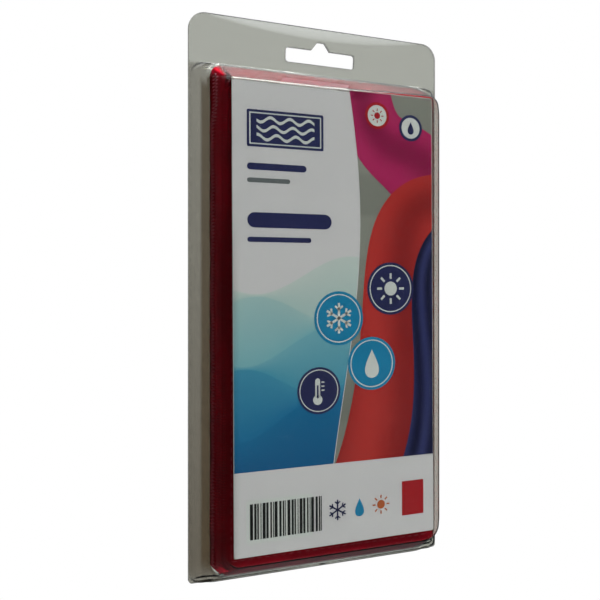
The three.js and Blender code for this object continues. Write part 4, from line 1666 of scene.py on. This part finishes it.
wall_steps = ((17.4, 4.0, 1.0), (15.4, 4.4, 1.0), (12.4, 5.0, 0.8), (9.4, 5.6, 0.5), (6.6, 6.0, 0.15))
walls = [tray(depth, 0, FOOT_CORNER, corner, swell) for depth, corner, swell in wall_steps]
face = [
    tray(TRAY_FACE, 5, 1.0, 1.0),
    tray(TRAY_FACE, 1.1, 4.3, 2.5, 0.9),
    tray(TRAY_FACE, 0, 5.4, 3.6, 0.9),
]
roll_steps = ((2.95, 3.2, 0.3), (2.6, 1.7, 0.2), (1.9, 0.7, 0.1), (1.1, 0.2, 0), (FRONT_FLANGE, 0.1, 0))
roll = [rim(*step) for step in roll_steps]
mould = face + walls + [tray(TRAY_RIM, 0, FOOT_CORNER, 6.4)] + roll + [rim(FRONT_FLANGE, -0.1, -0.05)]
turns = [(0.1, 0.1, 0.1), (0.5, 1.5, 0.4)] + [(0.3, 0.8, 0.8)] * 5
turns += [(0.4, 2.2, 0.4)] + [(0.1, 0.4, 0.2)] * 5
front_rim = eased(mould, turns)


def painted_bend_shade(x, depth, height):
    """Painted shade in the sheet's tint, from 0 to 1: a dark line under the face's upper edge, the side
    walls' upper ends and feet darker, a dark band along the left wall's front bend, and the rim strip and its
    bend darker towards the foot and less so at the right.
    """
    # A painted dark line under the face's upper edge, darker towards the left.
    face_edge = depth > 18.9 and 200.5 < height < 201.25
    if face_edge:
        return 0.8 * smooth((30 - x) / 40)
    walls_or_header = height > 211.2 or depth > 7
    # On the walls: painted shade at the side walls' upper ends and feet, and a painted dark band along the
    # left wall's front bend. The header gets none.
    if walls_or_header:
        upper = 0.85 * smooth((height - 201.5) / 3)
        lower = 0.5 * smooth((8 - height) / 3)
        beside = smooth((abs(x) + 0.23 * depth - 48.6) / 1.5)
        drawn = max(upper, lower) * beside * smooth((17 - depth) / 3) * (depth > TRAY_RIM)
        long_bend = smooth((depth - 10.5) / 4) * smooth((-x - 44.5) / 1.5)
        return max(drawn, 0.42 * long_bend * smooth((160 - height) / 40) * smooth((height - 4) / 8))
    # On the rim: the strip and its bend painted darker, more so towards the foot, and less at the right.
    low = 1 - height / 211
    corner = smooth((10 - height) / 7)
    strip = (0.5 + 0.34 * low) * (0.6 + 0.4 * smooth((height - 2) / 4))
    inner = 54.2 - 5 * smooth((height - 200) / 9)
    bend = (0.9 + 0.1 * low) * smooth((inner - abs(x)) / 1.4) * (1 - 0.35 * corner)
    clear = 1 - 0.6 * smooth((x - 38) / 6)
    return smooth((abs(x) + 6 * corner - 49.4) / 0.8) * max(strip, bend) * clear


drawn_shell(
    "front_clear_shell",
    front_rim + header_rings(front_rim[-1], flange(FRONT_FLANGE)),
    "front_half",
    "front_shell",
    clear_sheet,
    painted_bend_shade,
)

# Fold: the thin strip of sheet left between the two flanges at the foot, on which the front shell opens.
# It is bent back on itself when the pack is shut, and flat when the pack is open.
FOLD_HALF = 53.7
FOLD_THICK = 0.2
FOLD_MIDDLE = -0.15
FOLD_WIDE = 0.4
FOLD_LEVEL = 0.42
FOLD_DROP = 0.3
LEG_STEP = 0.15
bend = [(FOLD_MIDDLE - FOLD_WIDE, 0.95 - LEG_STEP * step) for step in range(4)]
for step in range(13):
    turn = math.radians(180 + 180 * step / 12)
    bend.append((FOLD_MIDDLE + FOLD_WIDE * math.cos(turn), FOLD_LEVEL + FOLD_DROP * math.sin(turn)))
bend += [(FOLD_MIDDLE + FOLD_WIDE, 0.5 + LEG_STEP * step) for step in range(4)]
skin = both_faces(bend, FOLD_THICK / 2)
fold_loops = []
for column in range(121):
    x = FOLD_HALF * (2 * column / 120 - 1)
    hang = 0.12 + 0.88 * smooth((FOLD_HALF + 0.2 - abs(x)) / 7)
    fold_loops.append([spot(x, depth, 1 - (1 - height) * hang) for depth, height in skin])
fold_shape = swept("fold_strip", fold_loops)
fold_smoke = fold_shape.attributes.new("smoke_and_shade", "FLOAT", "POINT")
fold_smoke.data.foreach_set("value", [0.3] * len(fold_shape.vertices))
fold = piece("fold_strip", fold_shape, None, "clear_sheet", clear_sheet)
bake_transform(fold)
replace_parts(fold, "fold_hinge")
